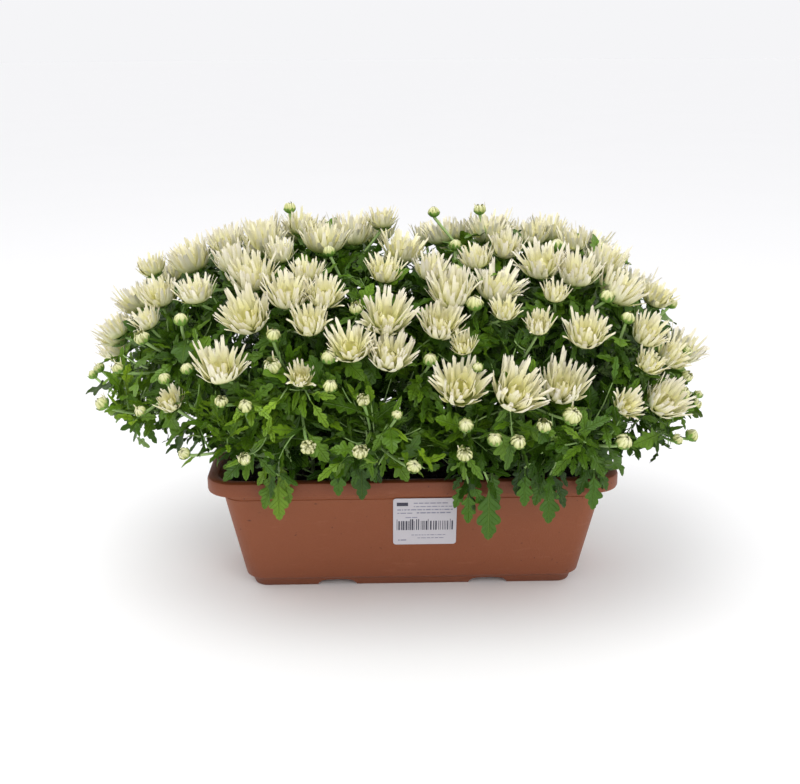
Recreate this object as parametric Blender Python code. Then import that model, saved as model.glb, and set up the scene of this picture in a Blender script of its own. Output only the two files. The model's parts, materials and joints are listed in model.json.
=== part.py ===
"""Pot chrysanthemum: two bushy plants with cream, half-open blooms in one terracotta-coloured
plastic trough. Metres, +Z up, the front faces -Y, the origin is the middle of the base."""

import math
import random

import bmesh
import bpy
from mathutils import Matrix, Vector
from mathutils.bvhtree import BVHTree

# Trough
RIM_LENGTH = 0.400
RIM_WIDTH = 0.170
TROUGH_HEIGHT = 0.125
RIM_FACE = 0.0145
RIM_FLANGE = 0.013
WALL = 0.0025
WALL_TAPER_LENGTH = 0.019
WALL_TAPER_WIDTH = 0.016
FOOT_HEIGHT = 0.009
FOOT_STEP = 0.005
FOOT_TAPER = 0.003
CORNER_RADIUS = 0.024
CORNER_POINTS = 4
FLOOR_TOP = 0.0115
CHANNEL_PLACES = (-0.076, 0.076)
CHANNEL_WIDTH = 0.038
CHANNEL_HEIGHT = 0.007
DRAIN_RADIUS = 0.004
DRAIN_PLACES = (-0.022, 0.022)
SHARP_ANGLE = math.radians(35)

# Label on the front wall
LABEL_WIDTH = 0.062
LABEL_HEIGHT = 0.053
LABEL_THICKNESS = 0.0006
LABEL_CORNER = 0.003
LABEL_CENTRE_X = 0.011
LABEL_TOP = 0.103

# Soil
SOIL_TOP = 0.108
SOIL_CROWN = 0.004
GAP = 0.0003
HOLE_DEPTH = 0.022
HOLE_SIDES = 6

# Plants: each crown is a rounded mound, here its centre, its reach to the trough's end,
# its reach to the middle and its root's place, all along X
MOUND_CENTRE_Z = 0.165
MOUND_TOP = 0.350
MOUND_DEPTH = 0.182
MOUND_POWER = 2.3
PLANTS = ((-0.085, 0.226, 0.260, -0.092), (0.095, 0.182, 0.260, 0.092))
DIVIDE_X = 0.012
ROOT_REACH_X = 0.058
ROOT_REACH_Y = 0.048

# Stems of one plant: rings of (angle from upright, count, turn)
STEM_RINGS = ((0.0, 1, 0.0), (34.0, 5, 12.0), (60.0, 7, 4.0), (82.0, 8, 20.0))
STEM_RADIUS = 0.0022
STEM_THINNING = 0.28
STEM_DRAWN_IN = 0.14
MIDDLE_GAP = 0.024
SHORTEST_STEM = 0.42
STEM_RISE = 0.45
SOIL_CLEAR = 0.006
TWIG_RADIUS = 0.0011
STEM_STEPS = 3
TWIG_STARTS = (3.5, 2.6, 3.85, 1.7, 3.2)
STRAIGHT_TWIG = 0.095
SHORTEST_TWIG = 0.010
HEAD_PUSHES = (0.0, -0.008, 0.006, -0.016, 0.012)

# Where the picture shows the largest blooms: across, up, in the plane y = 0, and diameter, in mm
EYE = Vector((-0.045, -1.090, 0.528))
SIGHT_START = 0.72
SIGHT_STEP = 0.0022
SIGHT_STEPS = 240
FRONT_BLOOMS = (
    (-58, 351, 46), (-105, 358, 32), (-28, 363, 30), (-127, 331, 30), (-179, 342, 34), (-206, 334, 34),
    (-251, 319, 30), (-156, 310, 46), (-179, 303, 38), (-210, 294, 36), (-246, 291, 36),
    (-161, 270, 46), (-120, 291, 40), (-101, 313, 32), (-70, 308, 46), (-85, 290, 36), (-25, 313, 34),
    (-9, 308, 32), (-24, 268, 46), (-100, 262, 34), (-60, 238, 40), (-21, 229, 42), (-190, 218, 44),
    (-289, 259, 32), (-260, 266, 28), (-110, 206, 24), (-9, 203, 26), (-242, 182, 26), (29, 349, 36),
    (75, 351, 42), (102, 358, 32), (119, 347, 32), (92, 335, 34), (128, 319, 44), (63, 324, 32),
    (87, 305, 46), (105, 314, 34), (163, 310, 42), (185, 305, 34), (206, 292, 44), (158, 340, 32),
    (20, 314, 34), (40, 292, 44), (21, 282, 42), (30, 260, 40), (9, 257, 34), (93, 272, 26),
    (142, 289, 26), (79, 247, 28), (127, 257, 26), (116, 232, 24), (52, 237, 24), (176, 276, 46),
    (175, 249, 40), (243, 285, 34), (236, 247, 34), (262, 224, 32), (241, 216, 28), (155, 207, 44),
    (183, 213, 32), (50, 195, 46), (105, 184, 48), (78, 166, 34), (259, 177, 42), (220, 173, 28),
    (230, 152, 26),
)
FRONT_BUDS = (
    (-116, 373, 12), (22, 368, 12), (66, 370, 12), (-79, 331, 12), (43, 336, 13), (-54, 274, 12),
    (-136, 248, 14), (-119, 264, 14), (-50, 258, 12), (-74, 243, 15), (-82, 225, 14), (-94, 221, 13),
    (-138, 216, 16), (-81, 195, 13), (-48, 180, 12), (-14, 164, 10), (-14, 259, 13), (20, 229, 14),
    (-204, 226, 13), (-223, 215, 12), (-218, 231, 10), (-246, 205, 12), (-258, 190, 12),
    (-272, 171, 11), (-316, 210, 11), (-291, 216, 12), (-265, 247, 14), (-226, 265, 14),
    (-167, 175, 13), (-191, 180, 12), (-206, 180, 14), (63, 278, 16), (147, 299, 12), (44, 313, 10),
    (67, 213, 10), (193, 284, 14), (185, 333, 12), (206, 321, 12), (215, 262, 13), (257, 276, 12),
    (277, 201, 12), (276, 184, 13), (291, 182, 10), (218, 132, 16), (110, 133, 14), (86, 136, 14),
    (55, 120, 14), (56, 152, 14), (136, 150, 14), (164, 160, 18),
)

# The plants stay over a line that rises past the rim, steeper at the ends
RIM_CLEAR = 0.002
RISE_AT_ENDS = 0.60
RISE_AT_FRONT = 0.38

# Room round the blooms and buds of the picture, then the spacing of those set by a rule
HEAD_SEED = 41
BLOOM_ROOM = 0.021
BUD_ROOM = 0.014
BLOOM_SPACING = 0.035
BUD_SPACING = 0.037
BLOOM_FLOOR = 0.215
BUD_FLOOR = 0.165
FLOOR_JITTER = 0.02
SPACING_JITTER = 0.006
FILL_TRIES = 9000
FRONT_Y = -0.03
FRONT_TOP = 0.33
BUDS_LEFT_OUT = 0.6
SMALL_BLOOM = 0.030
LARGE_BLOOM = 0.046
SIX_PETALS = 0.037
SMALL_BUD = 0.010
LARGE_BUD = 0.015
SIZE_POWER = 0.7
HEAD_LEAN = 0.16
HEAD_LIFT = 1.05
LIFT_SPREAD = 0.18

# Shape of a head as (outward, high) shares of its half width
OUTER_TIP = (1.0, 0.42)
OUTER_VALLEY = (0.40, 0.02)
INNER_TIP = (0.58, 0.80)
INNER_VALLEY = (0.26, 0.22)
TIP_WAVER = 0.10
BLOOM_HEART = 0.30
BUD_BELLY = (0.95, 0.10)
HEAD_BASE = 0.32

# Leaves that hang over the rim: across, height of the tip, how far out the leaf starts, length
RIM_LEAVES = (
    (-0.128, 0.098, 0.098, 0.044), (-0.072, 0.121, 0.098, 0.036), (-0.050, 0.117, 0.098, 0.040),
    (0.050, 0.092, 0.100, 0.034), (0.069, 0.078, 0.102, 0.056), (0.103, 0.108, 0.098, 0.038),
    (0.126, 0.092, 0.100, 0.046), (0.168, 0.104, 0.098, 0.040),
)
LEAF_PLACES = (0.34, 0.43, 0.52, 0.61, 0.70, 0.80, 0.90, 0.99)
TWIG_LEAF_PLACES = (0.35, 0.70)
TWIG_LEAF_SIZE = 0.72
SOLID_LEAVES = (2, 4, 7)
SHORT_LEAF = 0.042
LONG_LEAF = 0.056
LEAF_THICKNESS = 0.0009
LEAF_SHAPE = ((0.0, 0.012), (0.36, 0.29), (0.50, 0.15), (0.70, 0.30), (1.0, 0.0))
LEAF_LOBES = (LEAF_SHAPE[1], LEAF_SHAPE[3])
LEAF_SEEDS = 1000
LEAF_REACH = 1.16
LEAF_TURN = math.radians(137.5)
SIDE_SPREAD = 1.0
TIP_SPREAD = 0.25
TIP_SHARE = 0.95
WAY_ALONG = (0.55, 0.35)
LEAF_WIDTH = (0.85, 0.25)
LEAF_ARCH = (0.12, 0.22)
LEAF_FOLD = (0.18, 0.20)
RIM_LEAF_WAY = Vector((0.0, -0.22, -1.0))
RIM_LEAF_FACE = Vector((0.0, -1.0, 0.35))
RIM_LEAF_DROP = 0.93
LEAF_CLEAR = 0.0012
STEM_COLOUR = (0.30, 0.42, 0.13, 1.0)
LEAF_COLOUR = (0.10, 0.26, 0.06, 1.0)
PETAL_COLOUR = (0.87, 0.85, 0.66, 1.0)
TROUGH_COLOUR = (0.25, 0.085, 0.045, 1.0)
SOIL_COLOUR = (0.02, 0.014, 0.010, 1.0)
LABEL_COLOUR = (0.60, 0.59, 0.65, 1.0)


def clear_scene():
    for obj in list(bpy.data.objects):
        bpy.data.objects.remove(obj, do_unlink=True)


def new_collection(name):
    made = bpy.data.collections.new(name)
    bpy.context.scene.collection.children.link(made)
    return made


def new_material(name, colour, roughness):
    made = bpy.data.materials.new(name)
    made.use_nodes = True
    shader = made.node_tree.nodes["Principled BSDF"]
    shader.inputs["Base Color"].default_value = colour
    shader.inputs["Roughness"].default_value = roughness
    shader.inputs["Metallic"].default_value = 0.0
    return made


def object_from(work, name, collection, material=None):
    """A new object from a bmesh, with its faces turned out."""
    bmesh.ops.recalc_face_normals(work, faces=work.faces)
    mesh = bpy.data.meshes.new(name)
    work.to_mesh(mesh)
    work.free()
    made = bpy.data.objects.new(name, mesh)
    collection.objects.link(made)
    if material:
        mesh.materials.append(material)
    return made


def applied(obj):
    """Gives the object the mesh that its modifiers make, and removes them."""
    graph = bpy.context.evaluated_depsgraph_get()
    graph.update()
    mesh = bpy.data.meshes.new_from_object(obj.evaluated_get(graph))
    obj.modifiers.clear()
    obj.data = mesh


# Trough, label and soil


def rounded_outline(half_x, half_y, radius):
    """Points of a rounded rectangle, counter-clockwise from above."""
    points = []
    for corner in range(4):
        sx = 1 if corner in (0, 3) else -1
        sy = 1 if corner in (0, 1) else -1
        for step in range(CORNER_POINTS):
            angle = math.pi / 2 * (corner + step / (CORNER_POINTS - 1))
            x = sx * (half_x - radius) + radius * math.cos(angle)
            y = sy * (half_y - radius) + radius * math.sin(angle)
            points.append((x, y))
    return points


def loft(work, sections):
    """Closed body through rounded rectangles, each (half_x, half_y, radius, z)."""
    rings = []
    for half_x, half_y, radius, z in sections:
        outline = rounded_outline(half_x, half_y, radius)
        rings.append([work.verts.new((x, y, z)) for x, y in outline])
    for low, high in zip(rings, rings[1:]):
        for i in range(len(low)):
            j = (i + 1) % len(low)
            work.faces.new((low[i], low[j], high[j], high[i]))
    work.faces.new(rings[0][::-1])
    work.faces.new(rings[-1])


def wall_at(z):
    """Half length and half width of the outer wall at height z."""
    top = TROUGH_HEIGHT - RIM_FACE
    low = FOOT_HEIGHT + 0.003
    share = (top - z) / (top - low)
    half_x = RIM_LENGTH / 2 - RIM_FLANGE - WALL_TAPER_LENGTH * share
    half_y = RIM_WIDTH / 2 - RIM_FLANGE - WALL_TAPER_WIDTH * share
    return half_x, half_y


def trough_sections():
    """Outside from the foot up and over the rim, then the inside down to the floor."""
    low = FOOT_HEIGHT + 0.003
    top = TROUGH_HEIGHT - RIM_FACE
    low_x, low_y = wall_at(low)
    top_x, top_y = wall_at(top - 0.003)
    out_x, out_y = RIM_LENGTH / 2, RIM_WIDTH / 2
    in_x, in_y = wall_at(TROUGH_HEIGHT)
    floor_x, floor_y = wall_at(FLOOR_TOP)
    foot_x = low_x - FOOT_STEP
    foot_y = low_y - FOOT_STEP
    r = CORNER_RADIUS
    return (
        (foot_x - FOOT_TAPER, foot_y - FOOT_TAPER, r - 0.010, 0.0),
        (foot_x, foot_y, r - 0.007, FOOT_HEIGHT),
        (low_x, low_y, r - 0.005, low),
        (top_x, top_y, r - 0.003, top - 0.003),
        (top_x + 0.004, top_y + 0.004, r, top),
        (out_x - 0.001, out_y - 0.001, r + 0.004, top),
        (out_x, out_y, r + 0.005, top + 0.002),
        (out_x, out_y, r + 0.005, TROUGH_HEIGHT - 0.002),
        (out_x - 0.002, out_y - 0.002, r + 0.003, TROUGH_HEIGHT),
        (in_x + 0.001, in_y + 0.001, r - 0.003, TROUGH_HEIGHT),
        (in_x - WALL, in_y - WALL, r - 0.005, TROUGH_HEIGHT - 0.004),
        (floor_x - WALL, floor_y - WALL, r - 0.008, FLOOR_TOP),
    )


def channel_cutter(x, collection):
    """An arched bar across the base, for one of the two channels under it."""
    work = bmesh.new()
    half = CHANNEL_WIDTH / 2
    profile = [(-half - 0.003, -0.01), (half + 0.003, -0.01), (half, 0.002)]
    profile += [(half - 0.005, CHANNEL_HEIGHT), (-half + 0.005, CHANNEL_HEIGHT), (-half, 0.002)]
    ends = []
    for y in (-RIM_WIDTH, RIM_WIDTH):
        ends.append([work.verts.new((x + px, y, pz)) for px, pz in profile])
    for i in range(len(profile)):
        j = (i + 1) % len(profile)
        work.faces.new((ends[0][i], ends[0][j], ends[1][j], ends[1][i]))
    work.faces.new(ends[0][::-1])
    work.faces.new(ends[1])
    return object_from(work, "channel_cutter", collection)


def drain_cutter(x, y, collection):
    work = bmesh.new()
    place = Matrix.Translation((x, y, FLOOR_TOP / 2))
    bmesh.ops.create_cone(
        work, cap_ends=True, segments=8, radius1=DRAIN_RADIUS, radius2=DRAIN_RADIUS,
        depth=FLOOR_TOP * 3, matrix=place,
    )
    return object_from(work, "drain_cutter", collection)


def cut(obj, cutters):
    """Takes a collection of cutters out of the object and removes them."""
    modifier = obj.modifiers.new("cut", "BOOLEAN")
    modifier.operation = "DIFFERENCE"
    modifier.operand_type = "COLLECTION"
    modifier.collection = cutters
    modifier.solver = "EXACT"
    applied(obj)
    for cutter in list(cutters.objects):
        bpy.data.objects.remove(cutter, do_unlink=True)


def make_trough(parts, cutters, material):
    work = bmesh.new()
    loft(work, trough_sections())
    trough = object_from(work, "trough", parts, material)
    for x in CHANNEL_PLACES:
        channel_cutter(x, cutters)
        for y in DRAIN_PLACES:
            drain_cutter(x, y, cutters)
    cut(trough, cutters)
    trough.data.shade_smooth()
    trough.data.set_sharp_from_angle(angle=SHARP_ANGLE)
    return trough


def make_label(parts, material):
    """A thin sticker that lies on the sloping front wall."""
    work = bmesh.new()
    outline = rounded_outline(LABEL_WIDTH / 2, LABEL_HEIGHT / 2, LABEL_CORNER)
    faces = [[work.verts.new((x, y, z)) for x, y in outline] for z in (0.0, LABEL_THICKNESS)]
    for i in range(len(outline)):
        j = (i + 1) % len(outline)
        work.faces.new((faces[0][i], faces[0][j], faces[1][j], faces[1][i]))
    work.faces.new(faces[0][::-1])
    work.faces.new(faces[1])
    middle = LABEL_TOP - LABEL_HEIGHT / 2
    high = wall_at(LABEL_TOP)[1]
    low = wall_at(LABEL_TOP - LABEL_HEIGHT)[1]
    lean = math.atan2(high - low, LABEL_HEIGHT)
    label = object_from(work, "label", parts, material)
    label.rotation_euler = (math.pi / 2 + lean, 0.0, 0.0)
    label.location = (LABEL_CENTRE_X, -(high + low) / 2 - GAP / math.cos(lean), middle)
    return label


def make_soil(parts, cutters, material, feet):
    """The root ball fills the trough, with a plain hole for each stem."""
    low_x, low_y = wall_at(FLOOR_TOP + GAP)
    top_x, top_y = wall_at(SOIL_TOP)
    inset = WALL + GAP
    r = CORNER_RADIUS
    work = bmesh.new()
    loft(work, (
        (low_x - inset, low_y - inset, r - 0.008, FLOOR_TOP + GAP),
        (top_x - inset, top_y - inset, r - 0.005, SOIL_TOP),
        (top_x - inset - 0.012, top_y - inset - 0.012, r - 0.010, SOIL_TOP + SOIL_CROWN),
    ))
    soil = object_from(work, "soil", parts, material)
    bottom = SOIL_TOP - HOLE_DEPTH
    for foot in feet:
        hole = bmesh.new()
        place = Matrix.Translation((foot.x, foot.y, bottom + 0.025))
        radius = STEM_RADIUS + 2 * GAP
        bmesh.ops.create_cone(
            hole, cap_ends=True, segments=HOLE_SIDES, radius1=radius, radius2=radius,
            depth=0.050, matrix=place,
        )
        object_from(hole, "hole_cutter", cutters)
    cut(soil, cutters)
    soil.data.shade_smooth()
    soil.data.set_sharp_from_angle(angle=SHARP_ANGLE)
    return soil


# The growth plan: stems, twigs, blooms, buds and leaves as points and directions


def plant_at(point):
    """The plant on this side of the middle."""
    return PLANTS[0] if point.x < DIVIDE_X else PLANTS[1]


def half_length(plant, x):
    """The mound's reach on this side of its centre."""
    outer = (x - plant[0]) * plant[0] > 0
    return plant[1] if outer else plant[2]


def mound_value(plant, point):
    """Under 1 inside the plant's mound, 1 on its surface."""
    dx = abs(point.x - plant[0]) / half_length(plant, point.x)
    dy = abs(point.y) / MOUND_DEPTH
    dz = abs(point.z - MOUND_CENTRE_Z) / (MOUND_TOP - MOUND_CENTRE_Z)
    return dx**MOUND_POWER + dy**MOUND_POWER + dz**MOUND_POWER


def on_mound(plant, direction):
    """The point of the mound's surface in this direction from its centre."""
    start = Vector((plant[0], 0.0, MOUND_CENTRE_Z))
    value = mound_value(plant, start + direction)
    return start + direction * value ** (-1 / MOUND_POWER)


def sight_point(across, up):
    """Where the sight line through (across, 0, up) meets the front of a mound, or None."""
    target = Vector((across, 0.0, up))
    ray = target - EYE
    for step in range(SIGHT_STEPS):
        point = EYE + ray * (SIGHT_START + SIGHT_STEP * step)
        if mound_value(plant_at(point), point) <= 1.0:
            return point
    return target


def outward(plant, point):
    """Unit normal of the mound at a point of its surface."""
    half_x = half_length(plant, point.x)
    dx = (point.x - plant[0]) / half_x
    dy = point.y / MOUND_DEPTH
    high = MOUND_TOP - MOUND_CENTRE_Z
    dz = (point.z - MOUND_CENTRE_Z) / high
    power = MOUND_POWER - 1
    normal = Vector((
        math.copysign(abs(dx) ** power, dx) / half_x,
        math.copysign(abs(dy) ** power, dy) / MOUND_DEPTH,
        math.copysign(abs(dz) ** power, dz) / high,
    ))
    return normal.normalized()


def bend(start, through, end, steps):
    """Points along a smooth bend from start to end, drawn towards a third point."""
    points = []
    for i in range(steps + 1):
        t = i / steps
        points.append(start * (1 - t) ** 2 + through * (2 * t * (1 - t)) + end * t**2)
    return points


def short_of_middle(plant, tip):
    """The tip drawn in under the mound and to its own side of the middle, or None if too short."""
    start = Vector((plant[0], 0.0, MOUND_CENTRE_Z))
    share = 1.0 - STEM_DRAWN_IN
    limit = DIVIDE_X + math.copysign(MIDDLE_GAP, plant[0])
    if (start.lerp(tip, share).x - limit) * plant[0] < 0:
        share = (limit - start.x) / (tip.x - start.x)
    return start.lerp(tip, share) if share > SHORTEST_STEM else None


def plan_stems():
    """One main stem for each spray: its plant, its foot in the soil and its points."""
    stems = []
    for plant in PLANTS:
        for angle, count, turn in STEM_RINGS:
            for i in range(count):
                round_by = math.radians(turn) + 2 * math.pi * i / count
                tilt = math.radians(angle)
                way = Vector((
                    math.sin(tilt) * math.cos(round_by),
                    math.sin(tilt) * math.sin(round_by),
                    math.cos(tilt),
                ))
                tip = short_of_middle(plant, on_mound(plant, way))
                if tip is None:
                    continue
                spread = angle / STEM_RINGS[-1][0]
                foot_x = plant[3] + ROOT_REACH_X * spread * math.cos(round_by)
                foot_y = ROOT_REACH_Y * spread * math.sin(round_by)
                foot = Vector((foot_x, foot_y, SOIL_TOP - HOLE_DEPTH + GAP))
                rise = STEM_RISE * (tip - foot).length
                points = [foot, Vector((foot.x, foot.y, SOIL_TOP + SOIL_CLEAR))]
                knee = points[1] + Vector((0.0, 0.0, rise))
                points += bend(points[1], knee, tip, STEM_STEPS)[1:]
                stems.append({"plant": plant, "points": points, "twigs": [], "leaves": [], "rim": []})
    return stems


def far_from(point, places, spacing):
    return all((point - other["at"]).length > spacing for other in places)


def listed_heads():
    """Blooms and buds that the picture shows, set back on to the mounds."""
    heads = []
    for kind, room, listed in (("bloom", BLOOM_ROOM, FRONT_BLOOMS), ("bud", BUD_ROOM, FRONT_BUDS)):
        for across, up, wide in listed:
            at = sight_point(across / 1000, up / 1000)
            if far_from(at, heads, room + wide / 4000):
                heads.append({"kind": kind, "at": at, "wide": wide / 1000})
    return heads


def fill_heads(draw, heads, kind, spacing, floor, sizes):
    """Adds heads by a seeded rule where the picture lists none: the top, ends and back."""
    for _ in range(FILL_TRIES):
        plant = PLANTS[draw.random() < 0.5]
        way = Vector((draw.gauss(0, 1), draw.gauss(0, 1), abs(draw.gauss(0, 1))))
        at = on_mound(plant, way.normalized())
        floor_here = max(floor, lowest_at(at)) + FLOOR_JITTER * draw.random()
        if plant_at(at) is not plant or at.z < floor_here:
            continue
        in_front = at.y < FRONT_Y and at.z < FRONT_TOP
        if in_front and (kind == "bloom" or draw.random() < BUDS_LEFT_OUT):
            continue
        if far_from(at, heads, spacing + SPACING_JITTER * draw.random()):
            wide = sizes[0] + (sizes[1] - sizes[0]) * draw.random() ** SIZE_POWER
            heads.append({"kind": kind, "at": at, "wide": wide})


def plan_heads():
    """All blooms and buds, each with the axis that it opens along."""
    draw = random.Random(HEAD_SEED)
    heads = listed_heads()
    fill_heads(draw, heads, "bloom", BLOOM_SPACING, BLOOM_FLOOR, (SMALL_BLOOM, LARGE_BLOOM))
    fill_heads(draw, heads, "bud", BUD_SPACING, BUD_FLOOR, (SMALL_BUD, LARGE_BUD))
    for head in heads:
        lift = HEAD_LIFT + draw.gauss(0, LIFT_SPREAD)
        lean = Vector((draw.gauss(0, HEAD_LEAN), draw.gauss(0, HEAD_LEAN), lift))
        head["plant"] = plant_at(head["at"])
        head["axis"] = (outward(head["plant"], head["at"]) + lean).normalized()
        head["turn"] = draw.random() * math.tau
    return heads


def segment_distance(a, b, c, d):
    """Least distance between segment a-b and segment c-d."""
    u, v, w = b - a, d - c, a - c
    uu, uv, vv = u.dot(u), u.dot(v), v.dot(v)
    uw, vw = u.dot(w), v.dot(w)
    det = uu * vv - uv * uv
    s = 0.5 if det < 1e-12 else (uv * vw - vv * uw) / det
    s = min(1.0, max(0.0, s))
    t = (uv * s + vw) / vv if vv > 1e-12 else 0.0
    t = min(1.0, max(0.0, t))
    s = min(1.0, max(0.0, (uv * t - uw) / uu)) if uu > 1e-12 else 0.0
    return ((a + u * s) - (c + v * t)).length


def runs_of(points, radius):
    return [(a, b, radius) for a, b in zip(points, points[1:])]


def head_runs(head):
    """A short run along the head's axis whose radius covers it."""
    half = head["wide"] / 2
    low = head["at"] - head["axis"] * half * 0.3
    return [(low, head["at"] + head["axis"] * half * 0.5, half * 0.95)]


def clear_of(runs, others, spare):
    for a, b, radius in runs:
        reach = (b - a).length + 0.09
        for c, d, other in others:
            if (a - c).length > reach and (b - d).length > reach:
                continue
            if segment_distance(a, b, c, d) < radius + other + spare:
                return False
    return True


def plan_twigs(stems, heads):
    """Ties every head to the nearest stem that it can reach clear of the other sprays."""
    taken = [runs_of(stem["points"], STEM_RADIUS) for stem in stems]
    kept = []
    for head in heads:
        order = sorted(
            (k for k, stem in enumerate(stems) if stem["plant"] is head["plant"]),
            key=lambda k: (stems[k]["points"][-1] - head["at"]).length,
        )
        home = head["at"]
        tries = [(k, push) for push in HEAD_PUSHES for k in order[:3]]
        for k, push in tries:
            head["at"] = home + head["axis"] * push
            others = [run for i, runs in enumerate(taken) if i != k for run in runs]
            if not clear_of(head_runs(head), others, LEAF_CLEAR):
                continue
            base = head["at"] - head["axis"] * head["wide"] * HEAD_BASE
            path = twig_path(stems[k], base, head["axis"], others)
            if path:
                head["path"] = path
                stems[k]["twigs"].append(head)
                taken[k] += runs_of(path, TWIG_RADIUS) + head_runs(head)
                kept.append(head)
                break
    return kept, taken


def twig_path(stem, base, axis, others):
    """A bend from the stem to a head's base, clear of the other sprays, or None."""
    points = stem["points"]
    for place in TWIG_STARTS:
        start, along = path_point(points, place / (len(points) - 1))
        length = (base - start).length
        if length < SHORTEST_TWIG:
            continue
        knee = (start + along * length * 0.3).lerp(base - axis * length * 0.35, 0.6)
        path = bend(start, knee, base, 1 if length < STRAIGHT_TWIG else 2)
        if clear_of(runs_of(path, TWIG_RADIUS), others, LEAF_CLEAR):
            return path
    return None


def leaf_frame(base, way, up):
    """Matrix with x along the leaf, y across it and z off its face."""
    x = way.normalized()
    y = up.cross(x)
    if y.length < 1e-4:
        y = Vector((1.0, 0.0, 0.0)).cross(x)
    y.normalize()
    z = x.cross(y)
    turned = Matrix((x, y, z)).transposed().to_4x4()
    return Matrix.Translation(base) @ turned


def leaf_point(leaf, along, across):
    """A point of the leaf's face: it arches down to its tip and folds up from its rib."""
    x = along * leaf["long"]
    y = across * leaf["long"] * leaf["full"]
    drop = -leaf["arch"] * leaf["long"] * along**2 + leaf["fold"] * abs(y)
    return leaf["frame"] @ Vector((x, y, drop))


def lowest_at(point):
    """The height that the plants stay above: the rim, and a rising line past it."""
    past_x = max(0.0, abs(point.x) - RIM_LENGTH / 2)
    past_y = max(0.0, abs(point.y) - RIM_WIDTH / 2)
    return TROUGH_HEIGHT + RIM_CLEAR + RISE_AT_ENDS * past_x + RISE_AT_FRONT * past_y


def leaf_fits(plant, leaf):
    """True where the whole leaf lies in its plant's crown and over the trough."""
    edge = [(0.0, 0.0), (1.0, 0.0)] + [(a, b * side) for a, b in LEAF_LOBES for side in (-1, 1)]
    points = [leaf_point(leaf, along, across) for along, across in edge]
    return all(
        point.z > lowest_at(point) and mound_value(plant, point) < LEAF_REACH for point in points
    )


def path_point(points, share):
    """Point and direction at a share of the way along a path."""
    place = share * (len(points) - 1)
    i = min(int(place), len(points) - 2)
    return points[i].lerp(points[i + 1], place - i), (points[i + 1] - points[i]).normalized()


def between(draw, least_and_more):
    """A value from the least up to the least and more."""
    least, more = least_and_more
    return least + more * draw.random()


def grow_leaf(draw, at, along, round_by, long, spread):
    """A leaf that leaves its stem at the given spread to the side."""
    side = along.orthogonal().normalized()
    side.rotate(Matrix.Rotation(round_by, 3, along))
    way = (side * spread + along * between(draw, WAY_ALONG)).normalized()
    up = (along + Vector((0, 0, 0.5))).normalized()
    full = between(draw, LEAF_WIDTH)
    arch = between(draw, LEAF_ARCH)
    fold = between(draw, LEAF_FOLD)
    frame = leaf_frame(at, way, up)
    return {"frame": frame, "long": long, "full": full, "arch": arch, "fold": fold}


def leaf_places(stem):
    """Where leaves grow: up the stem, then along each twig, with the size of each."""
    places = [(stem["points"], share, 1.0) for share in LEAF_PLACES]
    for head in stem["twigs"]:
        places += [(head["path"], share, TWIG_LEAF_SIZE) for share in TWIG_LEAF_PLACES]
    return places


def plan_leaves(stems):
    """Leaves up every stem and twig, the largest low down, and those over the rim."""
    for k, stem in enumerate(stems):
        turn = k * LEAF_TURN
        for i, (points, share, size) in enumerate(leaf_places(stem)):
            draw = random.Random(LEAF_SEEDS * k + i)
            at, along = path_point(points, share)
            turn += LEAF_TURN
            long = size * (SHORT_LEAF + (LONG_LEAF - SHORT_LEAF) * draw.random())
            spread = SIDE_SPREAD if share < TIP_SHARE else TIP_SPREAD
            leaf = grow_leaf(draw, at, along, turn, long, spread)
            if i in SOLID_LEAVES and leaf_fits(stem["plant"], leaf):
                stem["leaves"].append(leaf)


def plan_rim_leaves(stems, taken):
    """Leaves that hang over the front rim, each on a short twig from a near stem."""
    for across, tip_z, out, long in RIM_LEAVES:
        base = Vector((across, -out, tip_z + long * RIM_LEAF_DROP))
        frame = leaf_frame(base, RIM_LEAF_WAY, RIM_LEAF_FACE)
        leaf = {"frame": frame, "long": long, "full": 1.0, "arch": 0.02, "fold": 0.12}
        order = sorted(range(len(stems)), key=lambda k: (stems[k]["points"][-2] - base).length)
        for k in order[:4]:
            others = [run for i, runs in enumerate(taken) if i != k for run in runs]
            path = twig_path(stems[k], base, Vector((0.0, 0.3, -1.0)), others)
            if path:
                stems[k]["rim"].append((path, leaf))
                taken[k] += runs_of(path, TWIG_RADIUS)
                break


# Meshes of one spray


def tube(work, points, radii, sides, side):
    """Tube of few sides along the points, capped at its far end. Returns its first ring."""
    rings = []
    for i, point in enumerate(points):
        ahead = points[min(i + 1, len(points) - 1)] - points[max(i - 1, 0)]
        ahead.normalize()
        side = (side - ahead * side.dot(ahead)).normalized()
        across = ahead.cross(side)
        ring = []
        for j in range(sides):
            turn = math.tau * j / sides
            off = side * math.cos(turn) + across * math.sin(turn)
            ring.append(work.verts.new(point + off * radii[i]))
        rings.append(ring)
    for low, high in zip(rings, rings[1:]):
        for i in range(sides):
            j = (i + 1) % sides
            work.faces.new((low[i], low[j], high[j], high[i]))
    work.faces.new(rings[-1])
    return rings[0]


def head_matrix(head):
    z = head["axis"]
    x = z.orthogonal().normalized()
    turned = Matrix((x, z.cross(x), z)).transposed().to_4x4()
    return Matrix.Translation(head["at"]) @ turned @ Matrix.Rotation(head["turn"], 4, "Z")


def zip_rings(work, low, high):
    """Joins two rings of unequal counts that start in the same direction."""
    i = j = 0
    while i < len(low) or j < len(high):
        step_low = j == len(high) or (i < len(low) and (i + 1) / len(low) <= (j + 1) / len(high))
        a, b = low[i % len(low)], high[j % len(high)]
        if step_low:
            i += 1
            work.faces.new((a, low[i % len(low)], b))
        else:
            j += 1
            work.faces.new((a, high[j % len(high)], b))


def ring_of(work, place, half, points):
    """A ring from (turn, out, high) triples, as shares of a head's half width."""
    ring = []
    for turn, out, high in points:
        at = Vector((half * out * math.cos(turn), half * out * math.sin(turn), half * high))
        ring.append(work.verts.new(place @ at))
    return ring


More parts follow.
